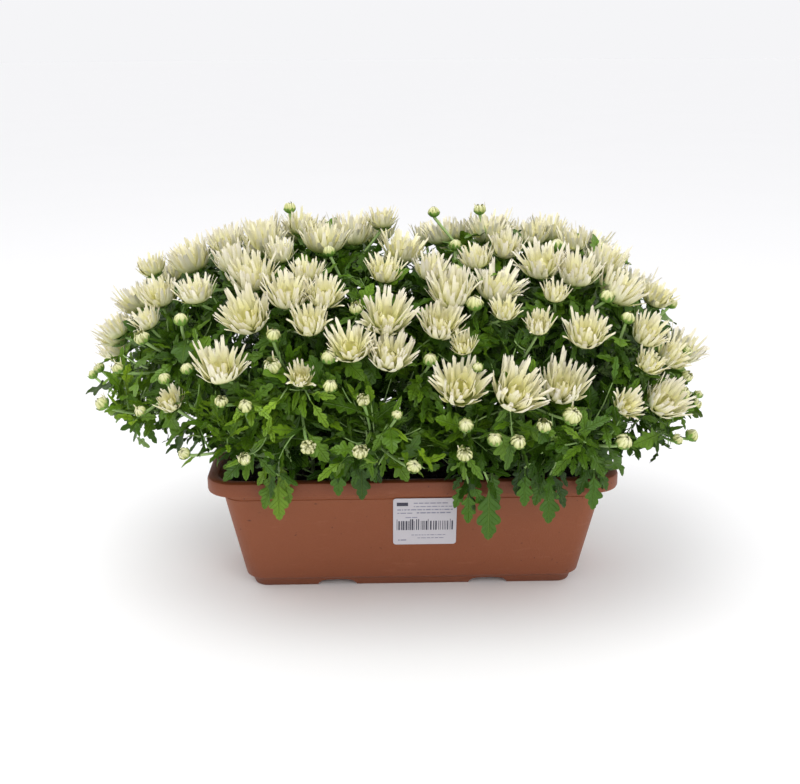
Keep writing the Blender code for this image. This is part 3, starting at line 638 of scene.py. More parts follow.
class GrowthPlan:
    """Where every stem, bloom, bud and leaf grows, by the same seeded rules as the solids."""

    def __init__(self) -> None:
        """Plans stems, heads, twigs and leaves in the order of the part's source."""
        self.stems = self._stems()
        self.taken = [runs_of(stem.points, STEM_RADIUS) for stem in self.stems]
        self.heads = self._twigs(self._heads())
        self._rim_leaves()
        self._leaves()
        self._extra_foliage()

    def _stem_tip(self, crown: Crown, tip: Vector) -> Vector | None:
        """Draws a tip in under the mound and to its own side.

        Args:
            crown: The plant's mound.
            tip: Where the stem meets its surface.

        Returns:
            The new tip, or None if the stem is too short.
        """
        start = Vector((crown.centre_x, 0.0, MOUND_CENTRE_Z))
        share = 1.0 - STEM_DRAWN_IN
        limit = DIVIDE_X + math.copysign(MIDDLE_GAP, crown.centre_x)
        if (start.lerp(tip, share).x - limit) * crown.centre_x < 0:
            share = (limit - start.x) / (tip.x - start.x)
        return start.lerp(tip, share) if share > SHORTEST_STEM else None

    def _stems(self) -> list[Stem]:
        """Plans one main stem for each spray.

        Returns:
            The stems.
        """
        stems = []
        for crown in CROWNS:
            for angle, count, turn in STEM_RINGS:
                for i in range(count):
                    round_by = math.radians(turn) + 2 * math.pi * i / count
                    tilt = math.radians(angle)
                    way = Vector((
                        math.sin(tilt) * math.cos(round_by),
                        math.sin(tilt) * math.sin(round_by),
                        math.cos(tilt),
                    ))
                    tip = self._stem_tip(crown, crown.surface(way))
                    if tip is None:
                        continue
                    spread = angle / STEM_RINGS[-1][0]
                    foot_x = crown.root_x + ROOT_REACH_X * spread * math.cos(round_by)
                    foot_y = ROOT_REACH_Y * spread * math.sin(round_by)
                    foot = Vector((foot_x, foot_y, SOIL_TOP - HOLE_DEPTH + GAP))
                    rise = STEM_RISE * (tip - foot).length
                    points = [foot, Vector((foot.x, foot.y, SOIL_TOP + SOIL_CLEAR))]
                    knee = points[1] + Vector((0.0, 0.0, rise))
                    points += bend(points[1], knee, tip, STEM_STEPS)[1:]
                    stems.append(Stem(crown, points, knee))
        return stems

    def _sight_point(self, across: float, up: float) -> Vector:
        """Gives where the sight line through (across, 0, up) meets the front of a mound.

        Args:
            across: Place along the trough.
            up: Height over the ground.

        Returns:
            The point, or the target where it misses.
        """
        target = Vector((across, 0.0, up))
        ray = target - EYE
        for step in range(SIGHT_STEPS):
            point = EYE + ray * (SIGHT_START + SIGHT_STEP * step)
            if crown_at(point).value(point) <= 1.0:
                return point
        return target

    def _listed_heads(self) -> list[Head]:
        """Sets back on to the mounds the blooms and buds that the picture shows.

        Returns:
            The heads that stand clear of one another.
        """
        heads: list[Head] = []
        for kind, room, listed in (
            (HeadKind.BLOOM, BLOOM_ROOM, FRONT_BLOOMS),
            (HeadKind.BUD, BUD_ROOM, FRONT_BUDS),
        ):
            for across, up, wide in listed:
                at = self._sight_point(across / 1000, up / 1000)
                if far_from(at, heads, room + wide / 4000):
                    heads.append(Head(kind, at, wide / 1000))
        return heads

    def _fill(
        self, draw: Draw, heads: list[Head], kind: HeadKind,
        spacing: float, floor: float, sizes: Point,
    ) -> None:
        """Adds heads by a seeded rule where the picture lists none.

        Args:
            draw: The plan's random draws.
            heads: The heads so far, to which it adds.
            kind: What it adds.
            spacing: Least distance from another head.
            floor: Least height.
            sizes: Smallest and largest diameter.
        """
        for _ in range(FILL_TRIES):
            crown = CROWNS[draw.random() < 0.5]
            way = Vector((draw.gauss(0, 1), draw.gauss(0, 1), abs(draw.gauss(0, 1))))
            at = crown.surface(way.normalized())
            floor_here = max(floor, lowest_at(at)) + FLOOR_JITTER * draw.random()
            if crown_at(at) is not crown or at.z < floor_here:
                continue
            in_front = at.y < FRONT_Y and at.z < FRONT_TOP
            if in_front and (kind is HeadKind.BLOOM or draw.random() < BUDS_LEFT_OUT):
                continue
            if far_from(at, heads, spacing + SPACING_JITTER * draw.random()):
                wide = sizes[0] + (sizes[1] - sizes[0]) * draw.random() ** SIZE_POWER
                heads.append(Head(kind, at, wide))

    def _heads(self) -> list[Head]:
        """Plans all blooms and buds, each with the axis that it opens along.

        Returns:
            The heads.
        """
        draw = random.Random(HEAD_SEED)
        heads = self._listed_heads()
        self._fill(draw, heads, HeadKind.BLOOM, BLOOM_SPACING, BLOOM_FLOOR, BLOOM_SIZES)
        self._fill(draw, heads, HeadKind.BUD, BUD_SPACING, BUD_FLOOR, BUD_SIZES)
        for head in heads:
            lift = HEAD_LIFT + draw.gauss(0, LIFT_SPREAD)
            lean = Vector((draw.gauss(0, HEAD_LEAN), draw.gauss(0, HEAD_LEAN), lift))
            head.crown = crown_at(head.at)
            head.axis = (head.crown.outward(head.at) + lean).normalized()
            head.turn = draw.random() * math.tau
        return heads

    def _runs_but(self, k: int) -> list[Run]:
        """Gives the runs of every spray but number k."""
        return [run for i, runs in enumerate(self.taken) if i != k for run in runs]

    def _twigs(self, wanted: list[Head]) -> list[Head]:
        """Ties every head to the nearest stem that it can reach clear of other sprays.

        Args:
            wanted: The heads of the plan.

        Returns:
            The heads that found a stem.
        """
        kept = []
        for head in wanted:
            order = sorted(
                (k for k, stem in enumerate(self.stems) if stem.crown is head.crown),
                key=lambda k: (self.stems[k].points[-1] - head.at).length,
            )
            home = head.at
            tries = [(k, push) for push in HEAD_PUSHES for k in order[:3]]
            for k, push in tries:
                head.at = home + head.axis * push
                others = self._runs_but(k)
                if not clear_of(head_runs(head), others, LEAF_CLEAR):
                    continue
                base = head.at - head.axis * head.wide * HEAD_BASE
                found = self._twig_path(self.stems[k], base, head.axis, others)
                if found:
                    head.path, head.knee = found
                    self.stems[k].twigs.append(head)
                    self.taken[k] += runs_of(head.path, TWIG_RADIUS) + head_runs(head)
                    kept.append(head)
                    break
        return kept

    def _twig_path(
        self, stem: Stem, base: Vector, axis: Vector, others: list[Run]
    ) -> tuple[list[Vector], Vector] | None:
        """Finds a bend from a stem to a head's base, clear of the other sprays.

        Args:
            stem: The stem that it leaves.
            base: Underside of the head.
            axis: Direction in which it arrives.
            others: Runs to keep clear of.

        Returns:
            The path and the point that it is drawn towards, or None.
        """
        for place in TWIG_STARTS:
            start, along = path_point(stem.points, place / (len(stem.points) - 1))
            length = (base - start).length
            if length < SHORTEST_TWIG:
                continue
            ahead = start + along * length * KNEE_ALONG
            knee = ahead.lerp(base - axis * length * KNEE_BACK, KNEE_SHARE)
            path = bend(start, knee, base, 1 if length < STRAIGHT_TWIG else 2)
            if clear_of(runs_of(path, TWIG_RADIUS), others, LEAF_CLEAR):
                return path, knee
        return None

    def _rim_leaves(self) -> None:
        """Plans the leaves that hang over the front rim, each on a short twig."""
        for across, tip_z, out, long in RIM_LEAVES:
            base = Vector((across, -out, tip_z + long * RIM_LEAF_DROP))
            frame = leaf_frame(base, RIM_LEAF_WAY, RIM_LEAF_FACE)
            young = RIM_LEAF_YOUNG[0 if across < FRESH_RIM_X else 1]
            leaf = Leaf(frame, long, *RIM_LEAF_FORM, young)
            order = sorted(
                range(len(self.stems)), key=lambda k: (self.stems[k].points[-2] - base).length
            )
            for k in order[:4]:
                found = self._twig_path(self.stems[k], base, RIM_TWIG_WAY, self._runs_but(k))
                if found:
                    self.stems[k].rim.append((*found, leaf))
                    self.taken[k] += runs_of(found[0], TWIG_RADIUS)
                    break

    def _rim_companions(self, stem: Stem, leaf: Leaf, draw: Draw) -> None:
        """Hangs smaller leaves over the rim beside a large one, from the same twig.

        Args:
            stem: The stem that carries the twig.
            leaf: The large leaf.
            draw: Random draws.
        """
        base = leaf.frame.translation
        for aside, above, share in RIM_COMPANIONS:
            at = base + COMPANION_START * Vector((aside, 1.0, above))
            strays = [draw.gauss(0, stray) for stray in COMPANION_STRAY]
            way = RIM_LEAF_WAY + Vector((aside * COMPANION_FAN + strays[0], strays[1], 0.0))
            face = RIM_LEAF_FACE + Vector((aside * COMPANION_TURN, 0.0, strays[2]))
            long = leaf.long * share * between(draw, COMPANION_SIZE)
            fold = between(draw, LEAF_FOLD)
            young = leaf.young * COMPANION_YOUNG
            beside = Leaf(leaf_frame(at, way, face), long, *COMPANION_FORM, fold, young)
            if leaf_fits(stem.crown, beside, LEAF_REACH, LEAF_REACH, over_rim_at):
                stem.leaves.append(beside)

    def _leaves(self) -> None:
        """Plans leaves up every stem and twig, where the solids have the large ones."""
        for k, stem in enumerate(self.stems):
            turn = k * LEAF_TURN
            places = [(stem.points, share, 1.0) for share in LEAF_PLACES]
            for head in stem.twigs:
                places += [(head.path, share, TWIG_LEAF_SIZE) for share in TWIG_LEAF_PLACES]
            for i, (points, share, size) in enumerate(places):
                draw = random.Random(LEAF_SEEDS * k + i)
                at, along = path_point(points, share)
                turn += LEAF_TURN
                long = size * (SHORT_LEAF + (LONG_LEAF - SHORT_LEAF) * draw.random())
                spread = SIDE_SPREAD if share < TIP_SHARE else TIP_SPREAD
                leaf = grow_leaf(draw, at, along, turn, long, spread)
                leaf.young = STEM_LEAF_YOUNG * share if size == 1.0 else TWIG_LEAF_YOUNG
                if leaf_fits(stem.crown, leaf, LEAF_REACH, LEAF_REACH):
                    stem.leaves.append(leaf)

    def _extra_foliage(self) -> None:
        """Adds the smaller leaves and the leafy side shoots that make the bushes dense."""
        for k, stem in enumerate(self.stems):
            draw = random.Random(EXTRA_SEED + k)
            line = stem_line(stem)
            turn = draw.random() * math.tau
            for share in EXTRA_PLACES:
                turn += LEAF_TURN
                at, along = path_point(line, min(0.99, share + 0.02 * draw.random()))
                long = SHORT_LEAF * between(draw, EXTRA_LEAF_SIZE)
                self._keep(stem, grow_leaf(draw, at, along, turn, long, SIDE_SPREAD), draw)
            for places, reach in ((SHOOT_PLACES, SHOOT_REACH), (BASAL_PLACES, BASAL_REACH)):
                for share in places:
                    turn += LEAF_TURN
                    self._shoot(stem, line, share, turn, between(draw, reach), draw)
            for share in MIDDLE_PLACES:
                start, _ = path_point(line, share)
                gap = DIVIDE_X - start.x
                if abs(gap) < MIDDLE_ZONE and start.z < MIDDLE_ZONE_TOP:
                    aside = draw.gauss(0, MIDDLE_STRAY)
                    aim = Vector((gap * MIDDLE_AIM, aside, between(draw, MIDDLE_RISE)))
                    self._grow_shoot(stem, start, aim, draw)
            for path, _, leaf in stem.rim:
                self._leaf_up(stem, path, RIM_TWIG_PLACES, draw, over_rim_at)
                self._rim_companions(stem, leaf, draw)
            for head in stem.twigs:
                self._leaf_up(stem, head.path, HEAD_TWIG_PLACES, draw, form=LeafForm.SLENDER)
                if (head.path[-1] - head.path[0]).length > TWIG_SHOOT_LENGTH:
                    for share in TWIG_SHOOT_PLACES:
                        reach = between(draw, TWIG_SHOOT_REACH)
                        self._shoot(stem, head.path, share, draw.random() * math.tau, reach, draw)

    def _shoot(
        self, stem: Stem, line: list[Vector], share: float, turn: float, reach: float, draw: Draw
    ) -> None:
        """Adds a leafy side shoot to a stem where any of its leaves fits.

        Args:
            stem: The stem.
            line: The stem's middle line.
            share: Where the shoot leaves it.
            turn: Turn about the stem.
            reach: Length of the shoot.
            draw: Random draws.
        """
        start, along = path_point(line, share)
        side = along.orthogonal().normalized()
        side.rotate(Matrix.Rotation(turn, 3, along))
        way = (side + along * SHOOT_FORWARD + Vector((0, 0, SHOOT_UP))).normalized() * reach
        self._grow_shoot(stem, start, way, draw)

    def _grow_shoot(self, stem: Stem, start: Vector, way: Vector, draw: Draw) -> None:
        """Adds a leafy shoot that leaves sideways and then rises.

        Args:
            stem: The stem that carries it.
            start: Where it leaves the stem.
            way: From its start to its tip.
            draw: Random draws.
        """
        level = Vector((way.x, way.y, way.z * SHOOT_LEVEL))
        path = bend(start, start + level * SHOOT_KNEE, start + way, SHOOT_STEPS)
        last = self._leaf_up(stem, path, SHOOT_LEAVES, draw)
        if last > 0.0:
            shares = [last * i / (SHOOT_STEPS - 1) for i in range(SHOOT_STEPS)]
            stem.shoots.append([path_point(path, share)[0] for share in shares])

    def _leaf_up(
        self, stem: Stem, path: list[Vector], places: tuple[float, ...], draw: Draw,
        floor: Floor = floor_at, form: LeafForm = LeafForm.SMALL,
    ) -> float:
        """Adds small leaves along a shoot or twig where they fit.

        Args:
            stem: The stem that carries it.
            path: Its middle line.
            places: Shares of the way where leaves grow.
            draw: Random draws.
            floor: Gives the height that they stay above at a point.
            form: How far they are lobed.

        Returns:
            The share of the way where the last leaf grew, or 0.
        """
        turn = draw.random() * math.tau
        last = 0.0
        for place in places:
            turn += LEAF_TURN
            at, way = path_point(path, place)
            spread = SHOOT_SPREAD if place < TIP_SHARE else SHOOT_TIP_SPREAD
            long = SHORT_LEAF * between(draw, SHOOT_LEAF_SIZE)
            leaf = grow_leaf(draw, at, way, turn, long, spread)
            leaf.form = form
            if self._keep(stem, leaf, draw, floor):
                last = place
        return last

    def _keep(self, stem: Stem, leaf: Leaf, draw: Draw, floor: Floor = floor_at) -> bool:
        """Adds a leaf to its stem where it fits and stands clear of every bloom.

        Args:
            stem: The stem.
            leaf: The leaf, made narrower and given its age.
            draw: Random draws.
            floor: Gives the height that it stays above at a point.

        Returns:
            True where it was added.
        """
        leaf.full *= NARROWER
        leaf.arch *= FLATTER
        if leaf.form is LeafForm.LOBED and leaf.long < SMALL_LEAF:
            leaf.form = LeafForm.SMALL
        middle, tip = (leaf.point(share, 0.0) for share in (LEAF_MIDDLE, 1.0))
        if stem.crown.value(middle) < HIDDEN_DEPTH:
            return False
        fresher = LEFT_FRESHER if stem.crown.centre_x < 0 else RIGHT_FRESHER
        fresher *= middle.z < FRESH_TOP
        in_corner = middle.x < FRESH_RIM_X and middle.y < 0.0 and middle.z < FRESH_CORNER_TOP
        if in_corner or middle.x < FRESH_END_X:
            fresher += CORNER_FRESHER
        depth = YOUNG_SLOPE * (stem.crown.value(middle) - OLD_DEPTH)
        leaf.young = min(1.0, max(0.0, depth * (YOUNG_STRAY * draw.random() + fresher)))
        if not leaf_fits(stem.crown, leaf, REACH_HIGH, REACH_LOW, floor):
            return False
        for head in self.heads:
            if min((head.at - middle).length, (head.at - tip).length) < head.wide * HEAD_ROOM:
                return False
        stem.leaves.append(leaf)
        return True


def stem_line(stem: Stem) -> list[Vector]:
    """Gives the smooth centre line of a stem, from its foot to its tip."""
    return [stem.points[0]] + bend(stem.points[1], stem.knee, stem.points[-1], 14)


# Finishes

Socket = bpy.types.NodeSocket
Stops = tuple[tuple[float, str], ...]
Adder = Callable[..., Socket]
Pattern = tuple[Socket, Socket | None]


def linear(code: str) -> tuple[float, float, float, float]:
    """Turns an sRGB hex colour into linear values.

    Args:
        code: Six hex digits after a hash.

    Returns:
        Red, green, blue and 1.
    """
    parts = [int(code[i:i + 2], 16) / 255 for i in (1, 3, 5)]
    values = [p / 12.92 if p <= 0.04045 else ((p + 0.055) / 1.055) ** 2.4 for p in parts]
    return (*values, 1.0)


def per_metre(size_mm: float) -> float:
    """Gives the scale of a pattern whose features have this size in millimetres."""
    return 1000.0 / size_mm


def add_node(
    tree: bpy.types.NodeTree, kind: str, *inputs: Socket | Triple | float | str | None,
    out: str | None = None, stops: Stops = (), **settings: str | bool,
) -> Socket:
    """Adds one shader node with its settings and links.

    Args:
        tree: The node tree that takes it.
        kind: Blender's name of the node, without its first two words.
        inputs: For each input in use, in turn, an output to link, a value, a hex colour, or
            None to leave it as it is.
        out: Name of the output that is wanted, where it isn't the first in use.
        stops: Place and hex colour of each stop of a ramp.
        settings: The node's properties by name.

    Returns:
        The output.
    """
    node = tree.nodes.new(f"ShaderNode{kind}")
    for name, value in settings.items():
        setattr(node, name, value)
    if stops:
        elements = node.color_ramp.elements
        while len(elements) < len(stops):
            elements.new(0.5)
        for element, (place, code) in zip(elements, stops):
            element.position = place
            element.color = linear(code)
    for socket, value in zip([socket for socket in node.inputs if socket.enabled], inputs):
        if isinstance(value, Socket):
            tree.links.new(value, socket)
        elif value is not None:
            socket.default_value = linear(value) if isinstance(value, str) else value
    return node.outputs[out] if out else next(made for made in node.outputs if made.enabled)


@dataclass(frozen=True)
class Finish:
    """What every finish has: a name, a roughness, a specular level and the depth of its relief."""

    name: str = "finish"
    roughness: float = 0.6
    specular: float = 0.4
    relief: float = 0.0

    def material(self) -> Material:
        """Makes the material, with its shader's plain sockets set and its pattern drawn.

        Returns:
            The material.
        """
        made = bpy.data.materials.new(self.name)
        made.use_nodes = True
        tree = made.node_tree
        shader = tree.nodes["Principled BSDF"]
        shader.inputs["Roughness"].default_value = self.roughness
        shader.inputs["Specular IOR Level"].default_value = self.specular
        colour, height = self.pattern(partial(add_node, tree))
        tree.links.new(colour, shader.inputs["Base Color"])
        if height is not None:
            bump = add_node(tree, "Bump", 1.0, self.relief, None, height)
            tree.links.new(bump, shader.inputs["Normal"])
        return made

    def pattern(self, add: Adder) -> Pattern:
        """Draws the pattern.

        Args:
            add: Adds a node to the finish's tree.

        Returns:
            The colour, and the height where the pattern has relief.
        """
        raise NotImplementedError


def laid_over(
    add: Adder, body: Socket | str, code: str, amount: Socket, strength: float
) -> Socket:
    """Lays a colour over a body as far as an amount times a strength."""
    share = add("Math", amount, strength, operation="MULTIPLY")
    return add("Mix", share, body, code, data_type="RGBA")


def growth_of(add: Adder) -> tuple[Socket, Socket, Socket, Socket]:
    """Reads what a plant's mesh stores: the share along, the share across, the tone and the age."""
    stored = add("Attribute", attribute_name="growth", out="Vector")
    age = add("Attribute", attribute_name="age", out="Fac")
    return (*add("SeparateXYZ", stored).node.outputs, age)


@dataclass(frozen=True)
class LivingPetal(Finish):
    """Living petal: velvety tissue, cream at its tip, yellow in the heart, green at its foot and darker
    there with painted shade.

    Its fine cells scatter the light, so it glows softly and never shines.
    """

    name: str = "living_petal"
    roughness: float = 0.62
    specular: float = 0.25
    relief: float = 0.0001
    # The real veins are about twice as many; these few still show
    veins: float = 9.0
    # How far the hollows between the veins are darkened: painted shade
    hollow_shade: float = 0.07
    blush: float = 0.12

    def pattern(self, add: Adder) -> Pattern:
        """Colours the petal from its green foot, darkened with painted shade, to its pale tip, with fine
        lengthwise veins and painted shade in their hollows.
        """
        along, across, tone, age = growth_of(add)
        # The dark olive foot of this ramp is partly the petal's own green and partly painted shade under the
        # bowl of the bloom.
        outer = add("ValToRGB", along, stops=(
            (0.0, "#7F9A34"), (0.22, "#A0B44C"), (0.36, "#D2D98C"), (0.56, "#EEECC2"),
            (1.0, "#F2ECE1"),
        ))
        inner = add("ValToRGB", along, stops=(
            (0.0, "#B0BE50"), (0.24, "#E6E488"), (0.60, "#F1EDAA"), (1.0, "#F3EEC8"),
        ))
        body = add("Mix", age, outer, inner, data_type="RGBA")
        turn = add("Math", across, self.veins, operation="MULTIPLY")
        wave = add("Math", turn, operation="SINE")
        height = add("Math", wave, 0.5, 0.5, operation="MULTIPLY_ADD")
        hollow = add("Math", 1.0, height, operation="SUBTRACT")
        # Darkens the hollows between the veins: painted shade
        body = laid_over(add, body, "#D8D0A0", hollow, self.hollow_shade)
        return laid_over(add, body, "#F0E2DC", tone, self.blush), height


@dataclass(frozen=True)
class LivingLeaf(Finish):
    """Living leaf: waxy green blade with a pale midrib and side veins, brighter when young.

    The wax gives each fold a soft sheen, and the sunken veins break it up.
    """

    name: str = "living_leaf"
    roughness: float = 0.40
    specular: float = 0.32
    relief: float = 0.0008
    mottle_mm: float = 5.0
    # The side veins fork into a net in the real leaf, which is too fine to show
    vein_spacing: float = 0.105
    vein_slope: float = 0.75
    midrib_thinness: float = 42.0
    vein_thinness: float = 110.0

    def pattern(self, add: Adder) -> Pattern:
        """Draws the midrib, the side veins and the mottle of the blade."""
        along, across, tone, age = growth_of(add)
        old = add("Mix", tone, "#223F06", "#4B760F", data_type="RGBA")
        young = add("Mix", tone, "#568212", "#98BC26", data_type="RGBA")
        blade = add("Mix", age, old, young, data_type="RGBA")
        mottle = add("TexNoise", add("TexCoord", out="Object"), per_metre(self.mottle_mm), 3.0)
        blade = laid_over(add, blade, "#1F3A0C", mottle, 0.35)
        side = add("Math", across, operation="ABSOLUTE")
        rib = add(
            "Math", side, -self.midrib_thinness, 1.0, operation="MULTIPLY_ADD", use_clamp=True
        )
        slope = add("Math", side, -self.vein_slope, along, operation="MULTIPLY_ADD")
        gap = add("Math", slope, self.vein_spacing / 2, operation="PINGPONG")
        thin = add("Math", gap, -self.vein_thinness, 1.0, operation="MULTIPLY_ADD", use_clamp=True)
        fainter = add("Math", thin, 0.6, operation="MULTIPLY")
        veins = add("Math", rib, fainter, operation="MAXIMUM")
        swell = add("Math", mottle, 0.5, operation="MULTIPLY")
        height = add("Math", swell, veins, operation="SUBTRACT")
        return laid_over(add, blade, "#8FAE50", veins, 0.20), height


@dataclass(frozen=True)
class GreenStem(Finish):
    """Green stem: pale, downy and finely ribbed, darker and woodier at its foot.

    The down takes the gloss off and pales the edges.
    """

    name: str = "green_stem"
    roughness: float = 0.58
    specular: float = 0.3
    relief: float = 0.0002
    # Real down is under a tenth of a millimetre and is drawn coarser to show
    down_mm: float = 0.5

    def pattern(self, add: Adder) -> Pattern:
        """Runs from a brownish foot to a pale green top, with down as a fine speckle."""
        along, _, tone, age = growth_of(add)
        woody = add(
            "ValToRGB", along, stops=((0.0, "#4C5A2C"), (0.30, "#5C8238"), (1.0, "#86AC55"))
        )
        fresh = add("Mix", tone, "#7DA650", "#A9C57C", data_type="RGBA")
        body = add("Mix", age, woody, fresh, data_type="RGBA")
        down = add("TexNoise", add("TexCoord", out="Object"), per_metre(self.down_mm), 2.0)
        return laid_over(add, body, "#C4D4A4", down, 0.25), down


@dataclass(frozen=True)
class GreenBract(Finish):
    """Green bract: the scales under a head, whose thin dry edges look pale and papery."""

    name: str = "green_bract"
    roughness: float = 0.55
    specular: float = 0.3
    relief: float = 0.00015
    # Real down is under a tenth of a millimetre and is drawn coarser to show
    down_mm: float = 0.6

    def pattern(self, add: Adder) -> Pattern:
        """Greens the middle of each scale and pales its edge towards the tip."""
        along, across, tone, _ = growth_of(add)
        middle = add("Mix", tone, "#4E7D28", "#7FA53E", data_type="RGBA")
        side = add("Math", across, operation="ABSOLUTE")
        edge = add("Math", side, 3.0, operation="POWER", use_clamp=True)
        tip = add("Math", edge, along, operation="MULTIPLY")
        down = add("TexNoise", add("TexCoord", out="Object"), per_metre(self.down_mm), 2.0)
        return laid_over(add, middle, "#C3CF8B", tip, 0.8), down


@dataclass(frozen=True)
class BudHeart(Finish):
    """Bud heart: tight young petals, soft and matte, lime at the foot and cream at the top."""

    name: str = "bud_heart"
    roughness: float = 0.6
    specular: float = 0.25
    relief: float = 0.0002
    wrinkle_mm: float = 0.9

    def pattern(self, add: Adder) -> Pattern:
        """Runs from lime at the foot to cream at the top, with painted shade as green lines along the petal
        edges, where the petals overlap.
        """
        along, across, tone, _ = growth_of(add)
        body = add("ValToRGB", along, stops=(
            (0.0, "#7E9A3C"), (0.30, "#AEBC66"), (0.65, "#D3D49A"), (1.0, "#ECE8C4"),
        ))
        wrinkles = add("TexNoise", add("TexCoord", out="Object"), per_metre(self.wrinkle_mm), 2.0)
        # Darkens each petal's edges towards green: painted shade where the petals overlap.
        side = add("Math", across, operation="ABSOLUTE")
        edge = add("Math", side, 4.0, operation="POWER", use_clamp=True)
        edge_shaded = laid_over(add, body, "#8F9C45", edge, 0.75)
        return laid_over(add, edge_shaded, "#B3BA5C", tone, 0.35), wrinkles


@dataclass(frozen=True)
class MouldedPolypropylene(Finish):
    """Moulded polypropylene: matte terracotta brown, softly mottled by regrind, scuffed.

    The mould's fine grain spreads each highlight wide, and scuffs show paler than the wall.
    """

    name: str = "moulded_polypropylene"
    roughness: float = 0.5
    specular: float = 0.38
    relief: float = 0.00025
    cloud_mm: float = 38.0
    # The real grain is some tenths of a millimetre and is drawn coarser to show
    grain_mm: float = 1.4
    scuff_mm: float = 9.0
    scuff_stretch: Triple = (0.35, 1.0, 1.6)
    scuff_level: float = 0.63
    scuff_strength: float = 1.1
    speck_mm: float = 3.0
    speck_level: float = 0.80
    speck_strength: float = 8.0

    def pattern(self, add: Adder) -> Pattern:
        """Mottles the wall, darkens its foot, paints shade on the rim band under the foliage, and adds
        scuffs, dust and dark specks.
        """
        place = add("TexCoord", out="Object")
        high = add("SeparateXYZ", place).node.outputs["Z"]
        share = add("Math", high, 1 / TROUGH_HEIGHT, operation="MULTIPLY", use_clamp=True)
        # The last two stops darken the rim band: painted shade from the foliage over it.
        body = add("ValToRGB", share, stops=(
            (0.0, "#67361E"), (0.12, "#7C4224"), (0.60, "#824625"), (0.86, "#864A28"),
            (0.90, "#7C401E"), (1.0, "#773B1A"),
        ))
        grain = add("TexNoise", place, per_metre(self.grain_mm), 3.0)
        cloud = add("TexNoise", place, per_metre(self.cloud_mm), 4.0)
        drawn_out = add("Mapping", place, None, None, self.scuff_stretch)
        scuff = add("TexNoise", drawn_out, per_metre(self.scuff_mm), 5.0)
        speck = add("TexNoise", place, per_metre(self.speck_mm), 0.0)
        for amount, level, strength, code in (
            (cloud, 0.0, 0.25, "#7A412B"),
            (grain, 0.0, 0.16, "#A5664B"),
            (scuff, self.scuff_level, self.scuff_strength, "#A87158"),
            (speck, self.speck_level, self.speck_strength, "#4A2418"),
        ):
            over = add("Math", amount, level, operation="SUBTRACT", use_clamp=True)
            body = laid_over(add, body, code, over, strength)
        return body, grain


@dataclass(frozen=True)
class MoistPeat(Finish):
    """Moist peat: crumbs that look near black and dull, with brown fibres."""

    name: str = "moist_peat"
    roughness: float = 0.9
    specular: float = 0.2
    relief: float = 0.0015
    crumb_mm: float = 3.0

    def pattern(self, add: Adder) -> Pattern:
        """Speckles the crumbs with browner and blacker grains."""
        grain = add("TexNoise", add("TexCoord", out="Object"), per_metre(self.crumb_mm), 6.0)
        body = add("ValToRGB", grain, stops=(
            (0.30, "#0D0A08"), (0.52, "#1D1612"), (0.66, "#33261C"), (0.80, "#5A4330"),
        ))
        return body, grain


@dataclass(frozen=True)
class CoatedPaper(Finish):
    """Coated paper: a printed sticker's smooth, faintly lavender white with a slight sheen."""

    name: str = "coated_paper"
    roughness: float = 0.38
    specular: float = 0.4
    relief: float = 0.00008
    cloud_mm: float = 7.0

    def pattern(self, add: Adder) -> Pattern:
        """Adds the slight cloudiness of paper."""
        cloud = add("TexNoise", add("TexCoord", out="Object"), per_metre(self.cloud_mm), 4.0)
        return laid_over(add, "#C6C3C8", "#B4B1B7", cloud, 0.4), cloud


@dataclass(frozen=True)
class PrintInk(Finish):
    """Print ink: flat dark bars on the sticker, slightly uneven where the ink lay thin."""

    name: str = "print_ink"
    roughness: float = 0.45
    specular: float = 0.35
    cloud_mm: float = 1.6
    dark: str = "#2E2E3A"
    light: str = "#4A4A58"

    def pattern(self, add: Adder) -> Pattern:
        """Makes the ink a little uneven."""
        cloud = add("TexNoise", add("TexCoord", out="Object"), per_metre(self.cloud_mm), 2.0)
        return add("Mix", cloud, self.dark, self.light, data_type="RGBA"), None


@dataclass(frozen=True)
class PaleFloor(Finish):
    """Painted board: a pale studio floor, matte and even, that takes soft shadows."""

    name: str = "pale_floor"
    roughness: float = 0.9
    specular: float = 0.1
    cloud_mm: float = 400.0

    def pattern(self, add: Adder) -> Pattern:
        """Keeps the floor almost even."""
        cloud = add("TexNoise", add("TexCoord", out="Object"), per_metre(self.cloud_mm), 2.0)
        return laid_over(add, "#FAF9F8", "#F5F4F3", cloud, 0.3), None


# Meshes

Line = Sequence[Point]


